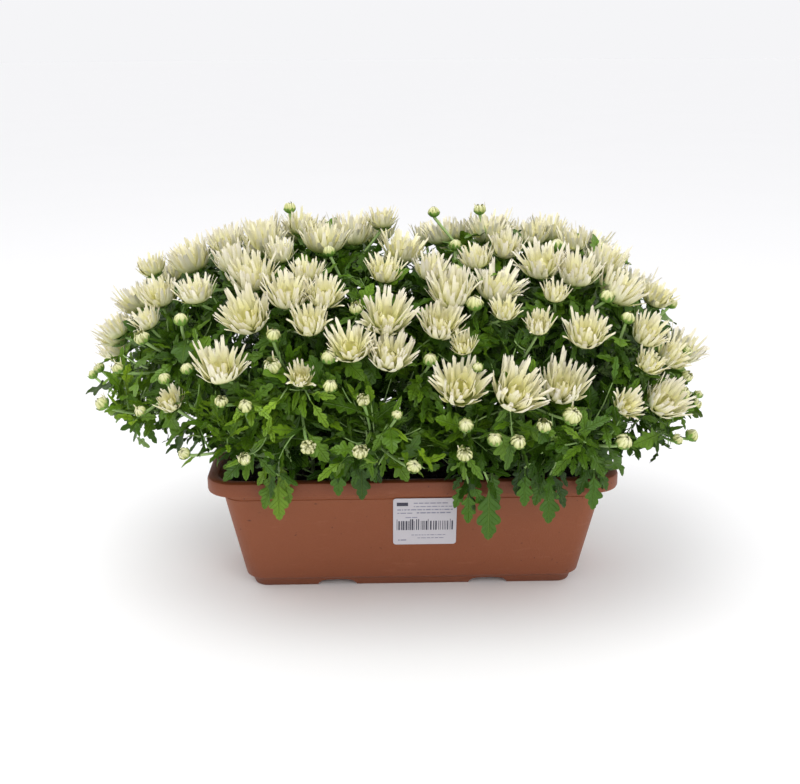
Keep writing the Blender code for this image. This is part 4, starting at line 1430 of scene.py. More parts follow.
class PieceMesh:
    """Gathers the sheets, tubes and cups of one piece, then makes one object of them."""

    def __init__(self, name: str) -> None:
        """Starts an empty piece.

        Args:
            name: Name of its object.
        """
        self.name = name
        self.points: list[np.ndarray] = []
        self.faces: list[list[int]] = []
        self.slots: list[int] = []
        self.growth: list[np.ndarray] = []
        self.age: list[np.ndarray] = []
        self.count = 0

    def add(
        self, points: np.ndarray, faces: np.ndarray, skin: int = 0,
        growth: np.ndarray | None = None, age: float = 0.0,
    ) -> None:
        """Adds one surface.

        Args:
            points: Its points, one row each.
            faces: Its faces as rows of point numbers.
            skin: Material slot.
            growth: Share along, share across and tone of each point of a plant.
            age: Age of the whole surface from 0 to 1.
        """
        self.points.append(points)
        self.faces += (faces + self.count).tolist()
        self.slots += [skin] * len(faces)
        self.growth.append(np.zeros((len(points), 3)) if growth is None else growth)
        self.age.append(np.full(len(points), age))
        self.count += len(points)

    def add_placed(
        self, place: np.ndarray, size: float, spots: Sequence[np.ndarray], faces: np.ndarray,
        skin: Skin, shares: Sequence[np.ndarray | float], age: float,
    ) -> None:
        """Adds one surface of a plant, drawn as grids in a frame of its own.

        Args:
            place: The frame.
            size: Length of a unit in it, in metres.
            spots: The x, y and z of the points.
            faces: Its faces as rows of point numbers.
            skin: Its finish.
            shares: Share along, share across and tone of the points.
            age: Age of the whole surface from 0 to 1.
        """
        grids = np.broadcast_arrays(*spots)
        flat = np.stack([grid * size for grid in grids] + [np.ones(grids[0].shape)], -1)
        growth = np.stack([np.broadcast_to(share, grids[0].shape) for share in shares], -1)
        points = (flat.reshape(-1, 4) @ place.T)[:, :3]
        self.add(points, faces, skin.value, growth.reshape(-1, 3), age)

    def finish(self, materials: list[Material], slot: str, node: str) -> Object:
        """Makes the object, smooth all over, and ties it to the frame.

        Args:
            materials: Its materials in the order of their slots.
            slot: Material slot of the record; not used.
            node: CAD node that it stands for.

        Returns:
            The object.
        """
        mesh = bpy.data.meshes.new(self.name)
        mesh.from_pydata(np.concatenate(self.points).tolist(), [], self.faces)
        mesh.polygons.foreach_set("material_index", self.slots)
        mesh.shade_smooth()
        growth = mesh.attributes.new("growth", "FLOAT_VECTOR", "POINT")
        growth.data.foreach_set("vector", np.concatenate(self.growth).ravel().astype(np.float32))
        age = mesh.attributes.new("age", "FLOAT", "POINT")
        age.data.foreach_set("value", np.concatenate(self.age).astype(np.float32))
        for material in materials:
            mesh.materials.append(material)
        piece = linked(self.name, mesh)
        tie(piece, node)
        return piece


def linked(name: str, data: bpy.types.ID) -> Object:
    """Makes an object of a mesh, a lamp or a lens and links it to the scene."""
    made = bpy.data.objects.new(name, data)
    bpy.context.scene.collection.objects.link(made)
    return made


def tie(piece: Object, node: str) -> None:
    """Ties a piece to the frame.

    Args:
        piece: The object.
        node: CAD node that it stands for.
    """
    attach(piece, "root")
    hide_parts(node)
    LOG.info("%s: %d faces", piece.name, len(piece.data.polygons))


def grid_faces(rows: int, columns: int, closed: bool = False) -> np.ndarray:
    """Gives the four-sided faces of a grid of points.

    Args:
        rows: Rows of points.
        columns: Points in each row.
        closed: Whether the last column joins the first.

    Returns:
        One face in each row.
    """
    across = columns if closed else columns - 1
    i, j = np.meshgrid(np.arange(rows - 1), np.arange(across), indexing="ij")
    k = (j + 1) % columns
    corners = (i * columns + j, i * columns + k, (i + 1) * columns + k, (i + 1) * columns + j)
    return np.stack(corners, -1).reshape(-1, 4)


# Each leaf's edge from its stalk to its tip, as shares of its length and width
LEAF_EDGES = {
    LeafForm.LOBED: (
        (0.00, 0.012), (0.14, 0.014), (0.22, 0.042), (0.285, 0.115), (0.340, 0.195),
        (0.385, 0.240), (0.425, 0.248), (0.455, 0.215), (0.470, 0.122), (0.52, 0.148),
        (0.575, 0.225), (0.625, 0.258), (0.675, 0.262), (0.712, 0.225), (0.732, 0.138),
        (0.80, 0.164), (0.85, 0.158), (0.888, 0.104), (0.95, 0.082), (1.00, 0.012),
    ),
    LeafForm.SMALL: (
        (0.00, 0.014), (0.17, 0.020), (0.28, 0.108), (0.37, 0.188), (0.44, 0.190),
        (0.48, 0.105), (0.59, 0.190), (0.69, 0.196), (0.745, 0.115), (0.87, 0.122),
        (0.95, 0.074), (1.00, 0.010),
    ),
    LeafForm.SLENDER: (
        (0.00, 0.016), (0.16, 0.030), (0.40, 0.092), (0.55, 0.135), (0.62, 0.095),
        (0.76, 0.098), (0.90, 0.055), (1.00, 0.004),
    ),
}
LEAF_COLUMNS = {
    LeafForm.LOBED: (-1.0, -0.5, 0.0, 0.5, 1.0),
    LeafForm.SMALL: (-1.0, 0.0, 1.0),
    LeafForm.SLENDER: (-1.0, 0.0, 1.0),
}
VEIN_SLOPE = 0.45


def leaf_template(form: LeafForm) -> np.ndarray:
    """Gives a leaf's points as shares: a row for each vein, from edge to edge.

    Args:
        form: How far it is lobed.

    Returns:
        Share along and share across of each point.
    """
    along, across = np.array(LEAF_EDGES[form]).T
    columns = np.array(LEAF_COLUMNS[form])
    start = np.maximum.accumulate(along - VEIN_SLOPE * across)
    start[-1] = 1.0
    rows_along = start[:, None] + (along - start)[:, None] * np.abs(columns)
    rows_across = across[:, None] * columns
    return np.stack((rows_along, rows_across), -1)


@dataclass
class LeafMaker:
    """Makes leaves from three templates, each leaf with its own waves and twist.

    Heights are shares of a leaf's length, and turns are in radians.
    """

    wave: Point = (0.045, 0.050)
    waves_along: float = 17.0
    sides_apart: float = 2.4
    twist: float = 0.18
    droop: float = 0.10
    full_width: float = 0.3

    def __post_init__(self) -> None:
        """Works out the templates and their faces once."""
        self.shares = {form: leaf_template(form) for form in LeafForm}
        self.faces = {form: grid_faces(*self.shares[form].shape[:2]) for form in LeafForm}

    def add(self, mesh: PieceMesh, leaf: Leaf, draw: Draw) -> None:
        """Adds one leaf to a piece.

        Args:
            mesh: The piece.
            leaf: The leaf's plan.
            draw: Random draws for its waves and tone.
        """
        along, across = np.moveaxis(self.shares[leaf.form], -1, 0)
        phase = draw.random() * math.tau
        wave = between(draw, self.wave)
        twist = draw.gauss(0, self.twist)
        y = across * leaf.full
        edge = np.abs(across) / self.full_width
        turn = along * self.waves_along + phase + self.sides_apart * np.sign(across)
        z = leaf.fold * np.abs(y) - leaf.arch * along**2 + twist * y * along
        z = z + wave * edge**1.5 * np.sin(turn) - self.droop * edge**2 * (1 - along)
        mesh.add_placed(
            np.array(leaf.frame), leaf.long, (along, y, z), self.faces[leaf.form], Skin.LEAF,
            (along, across, draw.random()), leaf.young,
        )


@dataclass(frozen=True)
class Whorl:
    """A ring of petals of one bloom, in shares of the bloom's half width.

    Attributes:
        count: Number of petals in a full bloom.
        tip: Outward and upward place of the tips.
        belly: Place that draws the petal outward above its foot.
        neck: Place that draws the petal upward below its tip.
        wide: Half width of a petal.
        age: How yellow it is.
        stray: How far petals stray from their places.
    """

    count: int
    tip: Point
    belly: Point
    neck: Point
    wide: float
    age: float
    stray: float


WHORLS = (
    Whorl(21, (1.08, 0.30), (0.70, -0.54), (0.78, -0.12), 0.106, 0.00, 0.16),
    Whorl(20, (0.96, 0.48), (0.60, -0.50), (0.66, 0.00), 0.102, 0.06, 0.15),
    Whorl(15, (0.74, 0.54), (0.48, -0.46), (0.52, 0.08), 0.098, 0.26, 0.13),
    Whorl(11, (0.48, 0.38), (0.34, -0.42), (0.40, 0.04), 0.098, 0.66, 0.10),
    Whorl(9, (0.18, 0.14), (0.20, -0.40), (0.34, 0.00), 0.094, 1.00, 0.07),
)
PETAL_ROWS = 6
SHORT_PETAL_ROWS = 5
PETAL_COLUMNS = np.array((-1.0, -0.5, 0.0, 0.5, 1.0))
# A petal's width at shares of its length, and how far its tip is notched at each column
PETAL_WIDTHS = ((0.0, 0.16, 0.38, 0.60, 0.80, 0.93, 1.0), (0.72, 1.20, 1.44, 1.14, 0.72, 0.62, 0.56))
NOTCHES = (
    (0.04, 0.00, 0.05, 0.00, 0.04), (0.02, 0.00, 0.06, 0.01, 0.06), (0.06, 0.02, 0.0, 0.02, 0.05),
)
PETAL_FOOT = (0.10, -0.56)

# Radius and height of the heart inside a bud, which sinks to a hollow as the bud opens
BUD_HEARTS = {
    BudStage.GREEN: ((0.05, -0.60), (0.60, -0.40), (0.80, 0.0), (0.66, 0.42), (0.36, 0.62), (0.02, 0.66)),
    BudStage.CREAM: ((0.05, -0.60), (0.60, -0.40), (0.76, 0.0), (0.56, 0.30), (0.30, 0.40), (0.02, 0.30)),
    BudStage.OPENING: ((0.05, -0.60), (0.58, -0.40), (0.66, 0.0), (0.46, 0.20), (0.22, 0.12), (0.02, -0.10)),
}
BUD_GAPES = {BudStage.GREEN: 0.08, BudStage.CREAM: 0.24, BudStage.OPENING: 0.62}
BUD_STAGES = (BudStage.GREEN, BudStage.CREAM, BudStage.CREAM, BudStage.OPENING, BudStage.OPENING)
# Count of petals in each whorl of a bud, their size, and how much of the gape they take
BUD_WHORLS = ((10, 1.0, 1.0), (8, 0.90, 0.7), (6, 0.78, 0.4))
BUD_CUP = ((0.10, -0.72), (0.42, -0.66), (0.76, -0.42), (0.90, -0.15))
LOOSE_PETALS = (0, 0, 1, 2, 3)


@dataclass
class HeadSite:
    """A head in the making: its piece, its frame, its half width and its random draws."""

    mesh: PieceMesh
    place: np.ndarray
    half: float
    draw: Draw


@dataclass
class HeadMaker:
    """Makes blooms and buds, each with its green cup of bracts.

    Diameters are in metres and other lengths are shares of a head's half width. A pair is a
    least value and what a draw or a full size adds.
    """

    fuller: float = 1.10
    small_bloom: float = 0.024
    full_bloom: float = 0.044
    opening: Point = (0.50, 0.40)
    opening_stray: float = 0.20
    warmth: float = 0.10
    warmth_stray: float = 0.14
    furthest_tip: Point = (1.12, 1.0)
    fallen_petals: float = 0.10
    fallen_tip: Point = (1.05, -0.38)
    short_petals: float = 0.24
    short_length: Point = (0.62, 0.24)
    petal_size: Point = (0.85, 0.35)
    petal_curl: Point = (0.10, 0.30)
    foot_curl: float = 0.45
    sway: float = 0.08
    cup_size: Point = (0.0040, 0.070)
    green_bud: float = 0.0105
    closed_stray: float = 0.05
    open_stray: float = 0.10

    def __post_init__(self) -> None:
        """Works out the grids that every head shares."""
        columns = len(PETAL_COLUMNS)
        self.petal_faces = {n: grid_faces(n, columns) for n in (PETAL_ROWS, SHORT_PETAL_ROWS)}
        self.bract_faces = grid_faces(4, 3)

    def _petal(
        self, site: HeadSite, curve: Line, turn: float, wide: float, age: float, curl: float,
        skin: Skin = Skin.PETAL, rows: int = PETAL_ROWS,
    ) -> None:
        """Adds one petal to a head.

        Args:
            site: The head.
            curve: Four points, outward and upward, that shape the petal's middle line.
            turn: Turn about the head's axis.
            wide: Half width of the petal.
            age: How yellow it is.
            curl: How far its edges roll inward.
            skin: Finish of the petal.
            rows: Rows of points from foot to tip.
        """
        t = np.linspace(0.0, 1.0, rows)[:, None]
        s = PETAL_COLUMNS[None, :]
        notch = np.array(site.draw.choice(NOTCHES))[None, :]
        if site.draw.random() < 0.5:
            notch = notch[:, ::-1]
        u = t - notch * t**7
        a, b, c, d = np.array(curve)[:, :, None, None]
        line = a * (1 - u) ** 3 + 3 * b * u * (1 - u) ** 2 + 3 * c * u**2 * (1 - u) + d * u**3
        slope = 3 * (b - a) * (1 - u) ** 2 + 6 * (c - b) * u * (1 - u) + 3 * (d - c) * u**2
        slope = slope / np.maximum(1e-6, np.hypot(slope[0], slope[1]))
        width = wide * np.interp(t, *PETAL_WIDTHS)
        roll = curl * width * s**2 * (self.foot_curl + (1 - self.foot_curl) * t)
        out = line[0] - slope[1] * roll
        up = line[1] + slope[0] * roll
        side = s * width * (1 - 0.25 * curl * s**2) + site.draw.gauss(0, self.sway) * t**2
        cos, sin = math.cos(turn), math.sin(turn)
        spots = (out * cos - side * sin, out * sin + side * cos, up)
        shares = (t, s, site.draw.random())
        faces = self.petal_faces[rows]
        site.mesh.add_placed(site.place, site.half, spots, faces, skin, shares, age)

    def _cup(self, site: HeadSite, profile: Line, skin: Skin, sides: int = 10) -> None:
        """Adds a turned cup to a head, from its stalk outward.

        Args:
            site: The head.
            profile: Radius and height of each ring.
            skin: Finish.
            sides: Points round it.
        """
        turns = np.arange(sides) * math.tau / sides
        radius, high = np.array(profile).T[:, :, None]
        spots = (radius * np.cos(turns), radius * np.sin(turns), high)
        faces = grid_faces(len(profile), sides, closed=True)
        shares = (np.linspace(0.0, 1.0, len(profile))[:, None], 0.0, site.draw.random())
        site.mesh.add_placed(site.place, site.half, spots, faces, skin, shares, 0.5)

    def _bracts(self, site: HeadSite, rows: Sequence[Line], count: int, wide: float) -> None:
        """Adds rings of pointed scales to a cup.

        Args:
            site: The head.
            rows: For each ring the foot, middle and tip as radius and height.
            count: Scales in a ring.
            wide: Half width of a scale.
        """
        draw = site.draw
        t = np.array((0.0, 0.45, 0.8, 1.0))[:, None]
        s = np.array((-1.0, 0.0, 1.0))
        taper = np.array((0.8, 1.0, 0.7, 0.08))[:, None]
        for level, (foot, middle, tip) in enumerate(rows):
            for i in range(count):
                turn = math.tau * (i + 0.5 * level + 0.2 * draw.random()) / count
                stretch = 1.0 + 0.15 * draw.gauss(0, 1)
                end = foot[1] + (tip[1] - foot[1]) * stretch
                radius = np.interp(t, (0, 0.5, 1), (foot[0], middle[0], tip[0]))
                high = np.interp(t, (0, 0.5, 1), (foot[1], middle[1], end))
                angle = turn + s * taper * wide / np.maximum(radius, 0.12)
                out = radius + 0.03 * (1 - s**2)
                spots = (out * np.cos(angle), out * np.sin(angle), high)
                shares = (t, s, draw.random())
                site.mesh.add_placed(
                    site.place, site.half, spots, self.bract_faces, Skin.BRACT, shares, 0.5
                )

    def bloom(self, mesh: PieceMesh, head: Head, draw: Draw) -> None:
        """Adds a half-open bloom: five whorls of spoon petals over a cup of bracts.

        Args:
            mesh: The piece.
            head: The bloom's plan.
            draw: Random draws.
        """
        half = head.wide / 2 * self.fuller
        site = HeadSite(mesh, np.array(head.matrix()), half, draw)
        size = (head.wide - self.small_bloom) / (self.full_bloom - self.small_bloom)
        size = min(1.0, max(0.0, size))
        open_by = self.opening[0] + self.opening[1] * size + draw.gauss(0, self.opening_stray)
        warmth = max(0.0, self.warmth + self.warmth_stray * draw.gauss(0, 1))
        for k, whorl in enumerate(WHORLS):
            count = round(whorl.count * (0.78 + 0.22 * size))
            first = draw.random() * math.tau
            for i in range(count):
                turn = first + math.tau * (i + 0.22 * draw.gauss(0, 1)) / count
                out = whorl.tip[0] * (0.80 + 0.20 * open_by) + whorl.stray * draw.gauss(0, 1)
                up = whorl.tip[1] + 0.22 * (1 - open_by) + whorl.stray * draw.gauss(0, 1.1)
                if k < 2 and draw.random() < self.fallen_petals:
                    out, up = out * self.fallen_tip[0], up + self.fallen_tip[1]
                if draw.random() < self.short_petals:
                    short = between(draw, self.short_length)
                    out, up = out * short, up * short
                tip = (min(out, self.furthest_tip[0]), min(up, self.furthest_tip[1]))
                neck = (whorl.neck[0] + 0.05 * draw.gauss(0, 1), whorl.neck[1])
                wide = whorl.wide * between(draw, self.petal_size) * (1.16 - 0.16 * size)
                age = min(1.0, whorl.age + warmth + 0.10 * draw.random() + 0.20 * (1 - size))
                curl = between(draw, self.petal_curl)
                curve = (PETAL_FOOT, whorl.belly, neck, tip)
                rows = PETAL_ROWS if k < 3 else SHORT_PETAL_ROWS
                self._petal(site, curve, turn, wide, age, curl, rows=rows)
        cup = (self.cup_size[0] + self.cup_size[1] * head.wide) / half
        profile = ((0.05, -0.72), (0.55 * cup, -0.70), (0.90 * cup, -0.64), (cup, -0.57))
        self._cup(site, profile, Skin.BRACT)
        rows = (
            ((0.55 * cup, -0.68), (cup * 1.02, -0.62), (cup * 1.25, -0.55)),
            ((0.80 * cup, -0.64), (cup * 1.20, -0.57), (cup * 1.60, -0.47)),
        )
        self._bracts(site, rows, 10, 0.085 + 0.06 * cup)

    def bud(self, mesh: PieceMesh, head: Head, draw: Draw) -> None:
        """Adds a bud: tight petals over a round heart, held by bracts.

        Args:
            mesh: The piece.
            head: The bud's plan.
            draw: Random draws.
        """
        site = HeadSite(mesh, np.array(head.matrix()), head.wide / 2, draw)
        stage = BudStage.GREEN if head.wide < self.green_bud else draw.choice(BUD_STAGES)
        closed = stage is BudStage.GREEN
        stray = self.closed_stray if closed else self.open_stray
        self._cup(site, BUD_HEARTS[stage], Skin.HEART)
        for count, size, inward in BUD_WHORLS:
            first = draw.random() * math.tau
            for i in range(count):
                turn = first + math.tau * (i + 0.25 * draw.gauss(0, 1)) / count
                top = max(0.03, BUD_GAPES[stage] * inward + stray * draw.gauss(0, 1))
                high = (0.62 + 0.30 * size) * (1 + stray * draw.gauss(0, 1))
                swell = size * (1.0 + 0.05 * draw.gauss(0, 1))
                curve = ((0.30, -0.50), (1.24 * swell, -0.42), (1.08 * swell, 0.62), (top, high))
                self._petal(site, curve, turn, 0.26, 0.0, 0.55, Skin.HEART, SHORT_PETAL_ROWS)
        if not closed:
            for _ in range(draw.choice(LOOSE_PETALS)):
                turn = draw.random() * math.tau
                tip = (0.8 + 0.5 * draw.random(), 1.0 + 0.4 * draw.random())
                curve = ((0.5, -0.2), (0.95, 0.0), (0.95, 0.6), tip)
                self._petal(site, curve, turn, 0.15, 0.1, 0.9)
        rows = (
            ((0.35, -0.62), (0.80, -0.35), (0.98, -0.05)),
            ((0.60, -0.52), (0.96, -0.15), (1.00, 0.55 if closed else 0.20)),
        )
        self._bracts(site, rows, 9, 0.30)
        self._cup(site, BUD_CUP, Skin.BRACT)


@dataclass
class Spray:
    """One leafy, flowering stem that stands for one CAD node."""

    number: int
    stem: Stem
    seed: int = 300
    ribs: float = 0.10
    stem_end: float = 0.25
    twig_swell: float = 0.25
    shoot_foot: float = 0.95
    shoot_thinning: float = 0.45
    twig_age: float = 0.75
    shoot_age: float = 0.6

    def __post_init__(self) -> None:
        """Names the spray after the node that it stands for."""
        side = "left" if self.stem.crown.centre_x < 0 else "right"
        self.node = f"{side}_spray_{self.number:02d}"
        self.draw = random.Random(self.seed + self.number)
        self.mesh = PieceMesh(f"{self.node}_foliage")

    def _tube(
        self, line: list[Vector], radii: np.ndarray, sides: int, ribs: float, age: float
    ) -> None:
        """Adds a stem or twig along a line, closed at its far end.

        Args:
            line: Its middle line.
            radii: Radius at each point of the line.
            sides: Points round it.
            ribs: How far its ribs stand proud.
            age: 0 for an old stem, 1 for a fresh one.
        """
        turns = np.arange(sides) * math.tau / sides
        proud = 1 + ribs * (np.arange(sides) % 2)
        rings = []
        side = (line[1] - line[0]).orthogonal().normalized()
        for i, point in enumerate(line):
            ahead = (line[min(i + 1, len(line) - 1)] - line[max(i - 1, 0)]).normalized()
            side = (side - ahead * side.dot(ahead)).normalized()
            ways = np.outer(np.cos(turns), side) + np.outer(np.sin(turns), ahead.cross(side))
            rings.append(np.array(point) + ways * (radii[i] * proud)[:, None])
        points = np.concatenate(rings)
        share = np.repeat(np.linspace(0.0, 1.0, len(line)), sides)
        tone = np.full_like(share, self.draw.random())
        growth = np.stack((share, np.zeros_like(share), tone), -1)
        faces = grid_faces(len(line), sides, closed=True)
        self.mesh.add(points, faces, Skin.STEM.value, growth, age)

    def build(self, heads: HeadMaker, leaves: LeafMaker, materials: list[Material]) -> None:
        """Builds the whole spray.

        Args:
            heads: Maker of blooms and buds.
            leaves: Maker of leaves.
            materials: The five finishes of a spray.
        """
        line = stem_line(self.stem)
        thin = 1 - STEM_THINNING * np.linspace(0, 1, len(line))
        thin[-1] = self.stem_end
        self._tube(line, STEM_RADIUS * thin, 10, self.ribs, 0.0)
        for head in self.stem.twigs:
            path = bend(head.path[0], head.knee, head.path[-1], 9)
            radii = TWIG_RADIUS * (1.0 + self.twig_swell * np.linspace(0, 1, len(path)) ** 4)
            self._tube(path, radii, 8, self.ribs, self.twig_age)
            make = heads.bloom if head.kind is HeadKind.BLOOM else heads.bud
            make(self.mesh, head, self.draw)
        for path, knee, leaf in self.stem.rim:
            line = bend(path[0], knee, path[-1], 8)
            self._tube(line, np.full(len(line), TWIG_RADIUS), 6, self.ribs, self.shoot_age)
            leaves.add(self.mesh, leaf, self.draw)
        for path in self.stem.shoots:
            thin = self.shoot_foot - self.shoot_thinning * np.linspace(0, 1, len(path))
            self._tube(path, TWIG_RADIUS * thin, 4, 0.0, self.shoot_age)
        for leaf in self.stem.leaves:
            leaves.add(self.mesh, leaf, self.draw)
        self.mesh.finish(materials, "foliage", self.node)


def wall_at(z: float) -> Point:
    """Measures the trough's outer wall.

    Args:
        z: Height.

    Returns:
        Half length and half width there.
    """
    top = TROUGH_HEIGHT - RIM_FACE
    share = (top - z) / (top - WALL_FOOT)
    half_x = RIM_LENGTH / 2 - RIM_FLANGE - WALL_TAPER_LENGTH * share
    half_y = RIM_WIDTH / 2 - RIM_FLANGE - WALL_TAPER_WIDTH * share
    return half_x, half_y


def rounded_outline(half_x: float, half_y: float, radius: float, steps: int) -> list[Point]:
    """Gives the points of a rounded rectangle, counter-clockwise from above.

    Args:
        half_x: Half length.
        half_y: Half width.
        radius: Radius of the corners.
        steps: Points in each corner.

    Returns:
        The points.
    """
    points = []
    for corner in range(4):
        sx = 1 if corner in (0, 3) else -1
        sy = 1 if corner in (0, 1) else -1
        for step in range(steps):
            angle = math.pi / 2 * (corner + step / (steps - 1))
            x = sx * (half_x - radius) + radius * math.cos(angle)
            y = sy * (half_y - radius) + radius * math.sin(angle)
            points.append((x, y))
    return points


def loft(work: bmesh.types.BMesh, outlines: list[list[Triple]]) -> None:
    """Joins outlines of equal counts into one form that is closed at both ends.

    Args:
        work: The form that takes them.
        outlines: The outlines from end to end.
    """
    rings = [[work.verts.new(point) for point in outline] for outline in outlines]
    for low, high in zip(rings, rings[1:]):
        for i in range(len(low)):
            j = (i + 1) % len(low)
            work.faces.new((low[i], low[j], high[j], high[i]))
    work.faces.new(rings[0][::-1])
    work.faces.new(rings[-1])


def solid(name: str, work: bmesh.types.BMesh) -> Object:
    """Makes an object of a closed form, which it frees.

    Args:
        name: Name of the object.
        work: The form.

    Returns:
        The object.
    """
    bmesh.ops.recalc_face_normals(work, faces=work.faces)
    mesh = bpy.data.meshes.new(name)
    work.to_mesh(mesh)
    work.free()
    return linked(name, mesh)


@dataclass
class Trough:
    """The rectangular plastic trough with its rolled rim, foot and two arched channels."""

    corner_steps: int = 10
    groove: float = 0.0006

    def sections(self) -> list[tuple[float, float, float, float]]:
        """Gives the rounded rectangles from the foot over the rim to the inner floor.

        Returns:
            Half length, half width, corner radius and height of each.
        """
        top = TROUGH_HEIGHT - RIM_FACE
        foot = tuple(reach - FOOT_STEP for reach in wall_at(WALL_FOOT))
        rim = (RIM_LENGTH / 2, RIM_WIDTH / 2)
        wall_rows = [(wall_at(z), 0.0, -0.004, z) for z in (0.035, 0.060, 0.085)]
        groove_rows = [
            (wall_at(top - down), -inset, -0.0035, top - down) for down, inset in
            ((0.0090, 0.0), (0.0084, self.groove), (0.0074, self.groove), (0.0068, 0.0))
        ]
        # Each row has its outline, what it adds to that and to the corner radius, and its height
        rows = [
            (foot, -FOOT_TAPER - 0.001, -0.011, 0.0),
            (foot, -FOOT_TAPER, -0.010, 0.0008),
            (foot, -0.0004, -0.007, FOOT_HEIGHT - 0.0012),
            (foot, 0.0008, -0.007, FOOT_HEIGHT),
            (wall_at(WALL_FOOT), -0.0012, -0.006, WALL_FOOT - 0.0006),
            (wall_at(WALL_FOOT), 0.0, -0.005, WALL_FOOT + 0.0008),
            *wall_rows,
            *groove_rows,
            (wall_at(top - 0.003), 0.0, -0.003, top - 0.003),
            (wall_at(top - 0.003), 0.0015, -0.0015, top - 0.0008),
            (wall_at(top - 0.003), 0.0040, 0.0, top),
            (rim, -0.0016, 0.0034, top),
            (rim, -0.0005, 0.0045, top + 0.0005),
            (rim, 0.0, 0.005, top + 0.0020),
            (rim, 0.0, 0.005, TROUGH_HEIGHT - 0.0028),
            (rim, -0.0007, 0.0043, TROUGH_HEIGHT - 0.0010),
            (rim, -0.0024, 0.0026, TROUGH_HEIGHT),
            (wall_at(TROUGH_HEIGHT), 0.0024, -0.0016, TROUGH_HEIGHT),
            (wall_at(TROUGH_HEIGHT), 0.0, -0.0035, TROUGH_HEIGHT - 0.0008),
            (wall_at(TROUGH_HEIGHT), -WALL * 0.8, -0.005, TROUGH_HEIGHT - 0.0040),
            (wall_at(FLOOR_TOP), -WALL, -0.008, FLOOR_TOP),
        ]
        return [(x + out, y + out, CORNER_RADIUS + more, z) for (x, y), out, more, z in rows]

    def _channel_bars(self) -> bmesh.types.BMesh:
        """Makes the two arched bars that are cut from the base.

        Returns:
            The form of both.
        """
        work = bmesh.new()
        half = CHANNEL_WIDTH / 2
        arch = [(-half - 0.003, -0.01), (half + 0.003, -0.01), (half, 0.002)]
        for i in range(7):
            turn = math.pi * i / 6
            arch.append((
                (half - 0.005) * math.cos(turn) + 0.0035 * math.copysign(1, math.cos(turn)),
                CHANNEL_HEIGHT - 0.0035 + 0.0035 * math.sin(turn),
            ))
        arch.append((-half, 0.002))
        for x in CHANNEL_PLACES:
            loft(work, [[(x + px, y, pz) for px, pz in arch] for y in (-RIM_WIDTH, RIM_WIDTH)])
        return work

    def _drain_pegs(self) -> bmesh.types.BMesh:
        """Makes the four pegs that are cut from the base as drain holes.

        Returns:
            The form of all four.
        """
        work = bmesh.new()
        for x in CHANNEL_PLACES:
            for y in DRAIN_PLACES:
                bmesh.ops.create_cone(
                    work, cap_ends=True, segments=16, radius1=DRAIN_RADIUS, radius2=DRAIN_RADIUS,
                    depth=FLOOR_TOP * 3, matrix=Matrix.Translation((x, y, FLOOR_TOP)),
                )
        return work

    def _cut(self, shell: Object, work: bmesh.types.BMesh) -> None:
        """Cuts a closed form from the trough.

        Args:
            shell: The trough.
            work: The form.
        """
        cutter = solid("trough_cutter", work)
        cut = shell.modifiers.new("cut", "BOOLEAN")
        cut.operation = "DIFFERENCE"
        cut.object = cutter
        cut.solver = "EXACT"
        bpy.context.view_layer.update()
        graph = bpy.context.evaluated_depsgraph_get()
        shell.data = bpy.data.meshes.new_from_object(shell.evaluated_get(graph))
        shell.modifiers.clear()
        bpy.data.objects.remove(cutter, do_unlink=True)

    def build(self, material: Material) -> None:
        """Lofts the trough, cuts its base and gives it its finish.

        Args:
            material: The moulded plastic.
        """
        work = bmesh.new()
        loft(work, [
            [(x, y, z) for x, y in rounded_outline(half_x, half_y, radius, self.corner_steps)]
            for half_x, half_y, radius, z in self.sections()
        ])
        shell = solid("trough_shell", work)
        tie(shell, "trough")
        self._cut(shell, self._channel_bars())
        self._cut(shell, self._drain_pegs())
        shell.data.shade_smooth()
        shell.data.set_sharp_from_angle(angle=math.radians(38))
        shell.data.materials.clear()
        shell.data.materials.append(material)


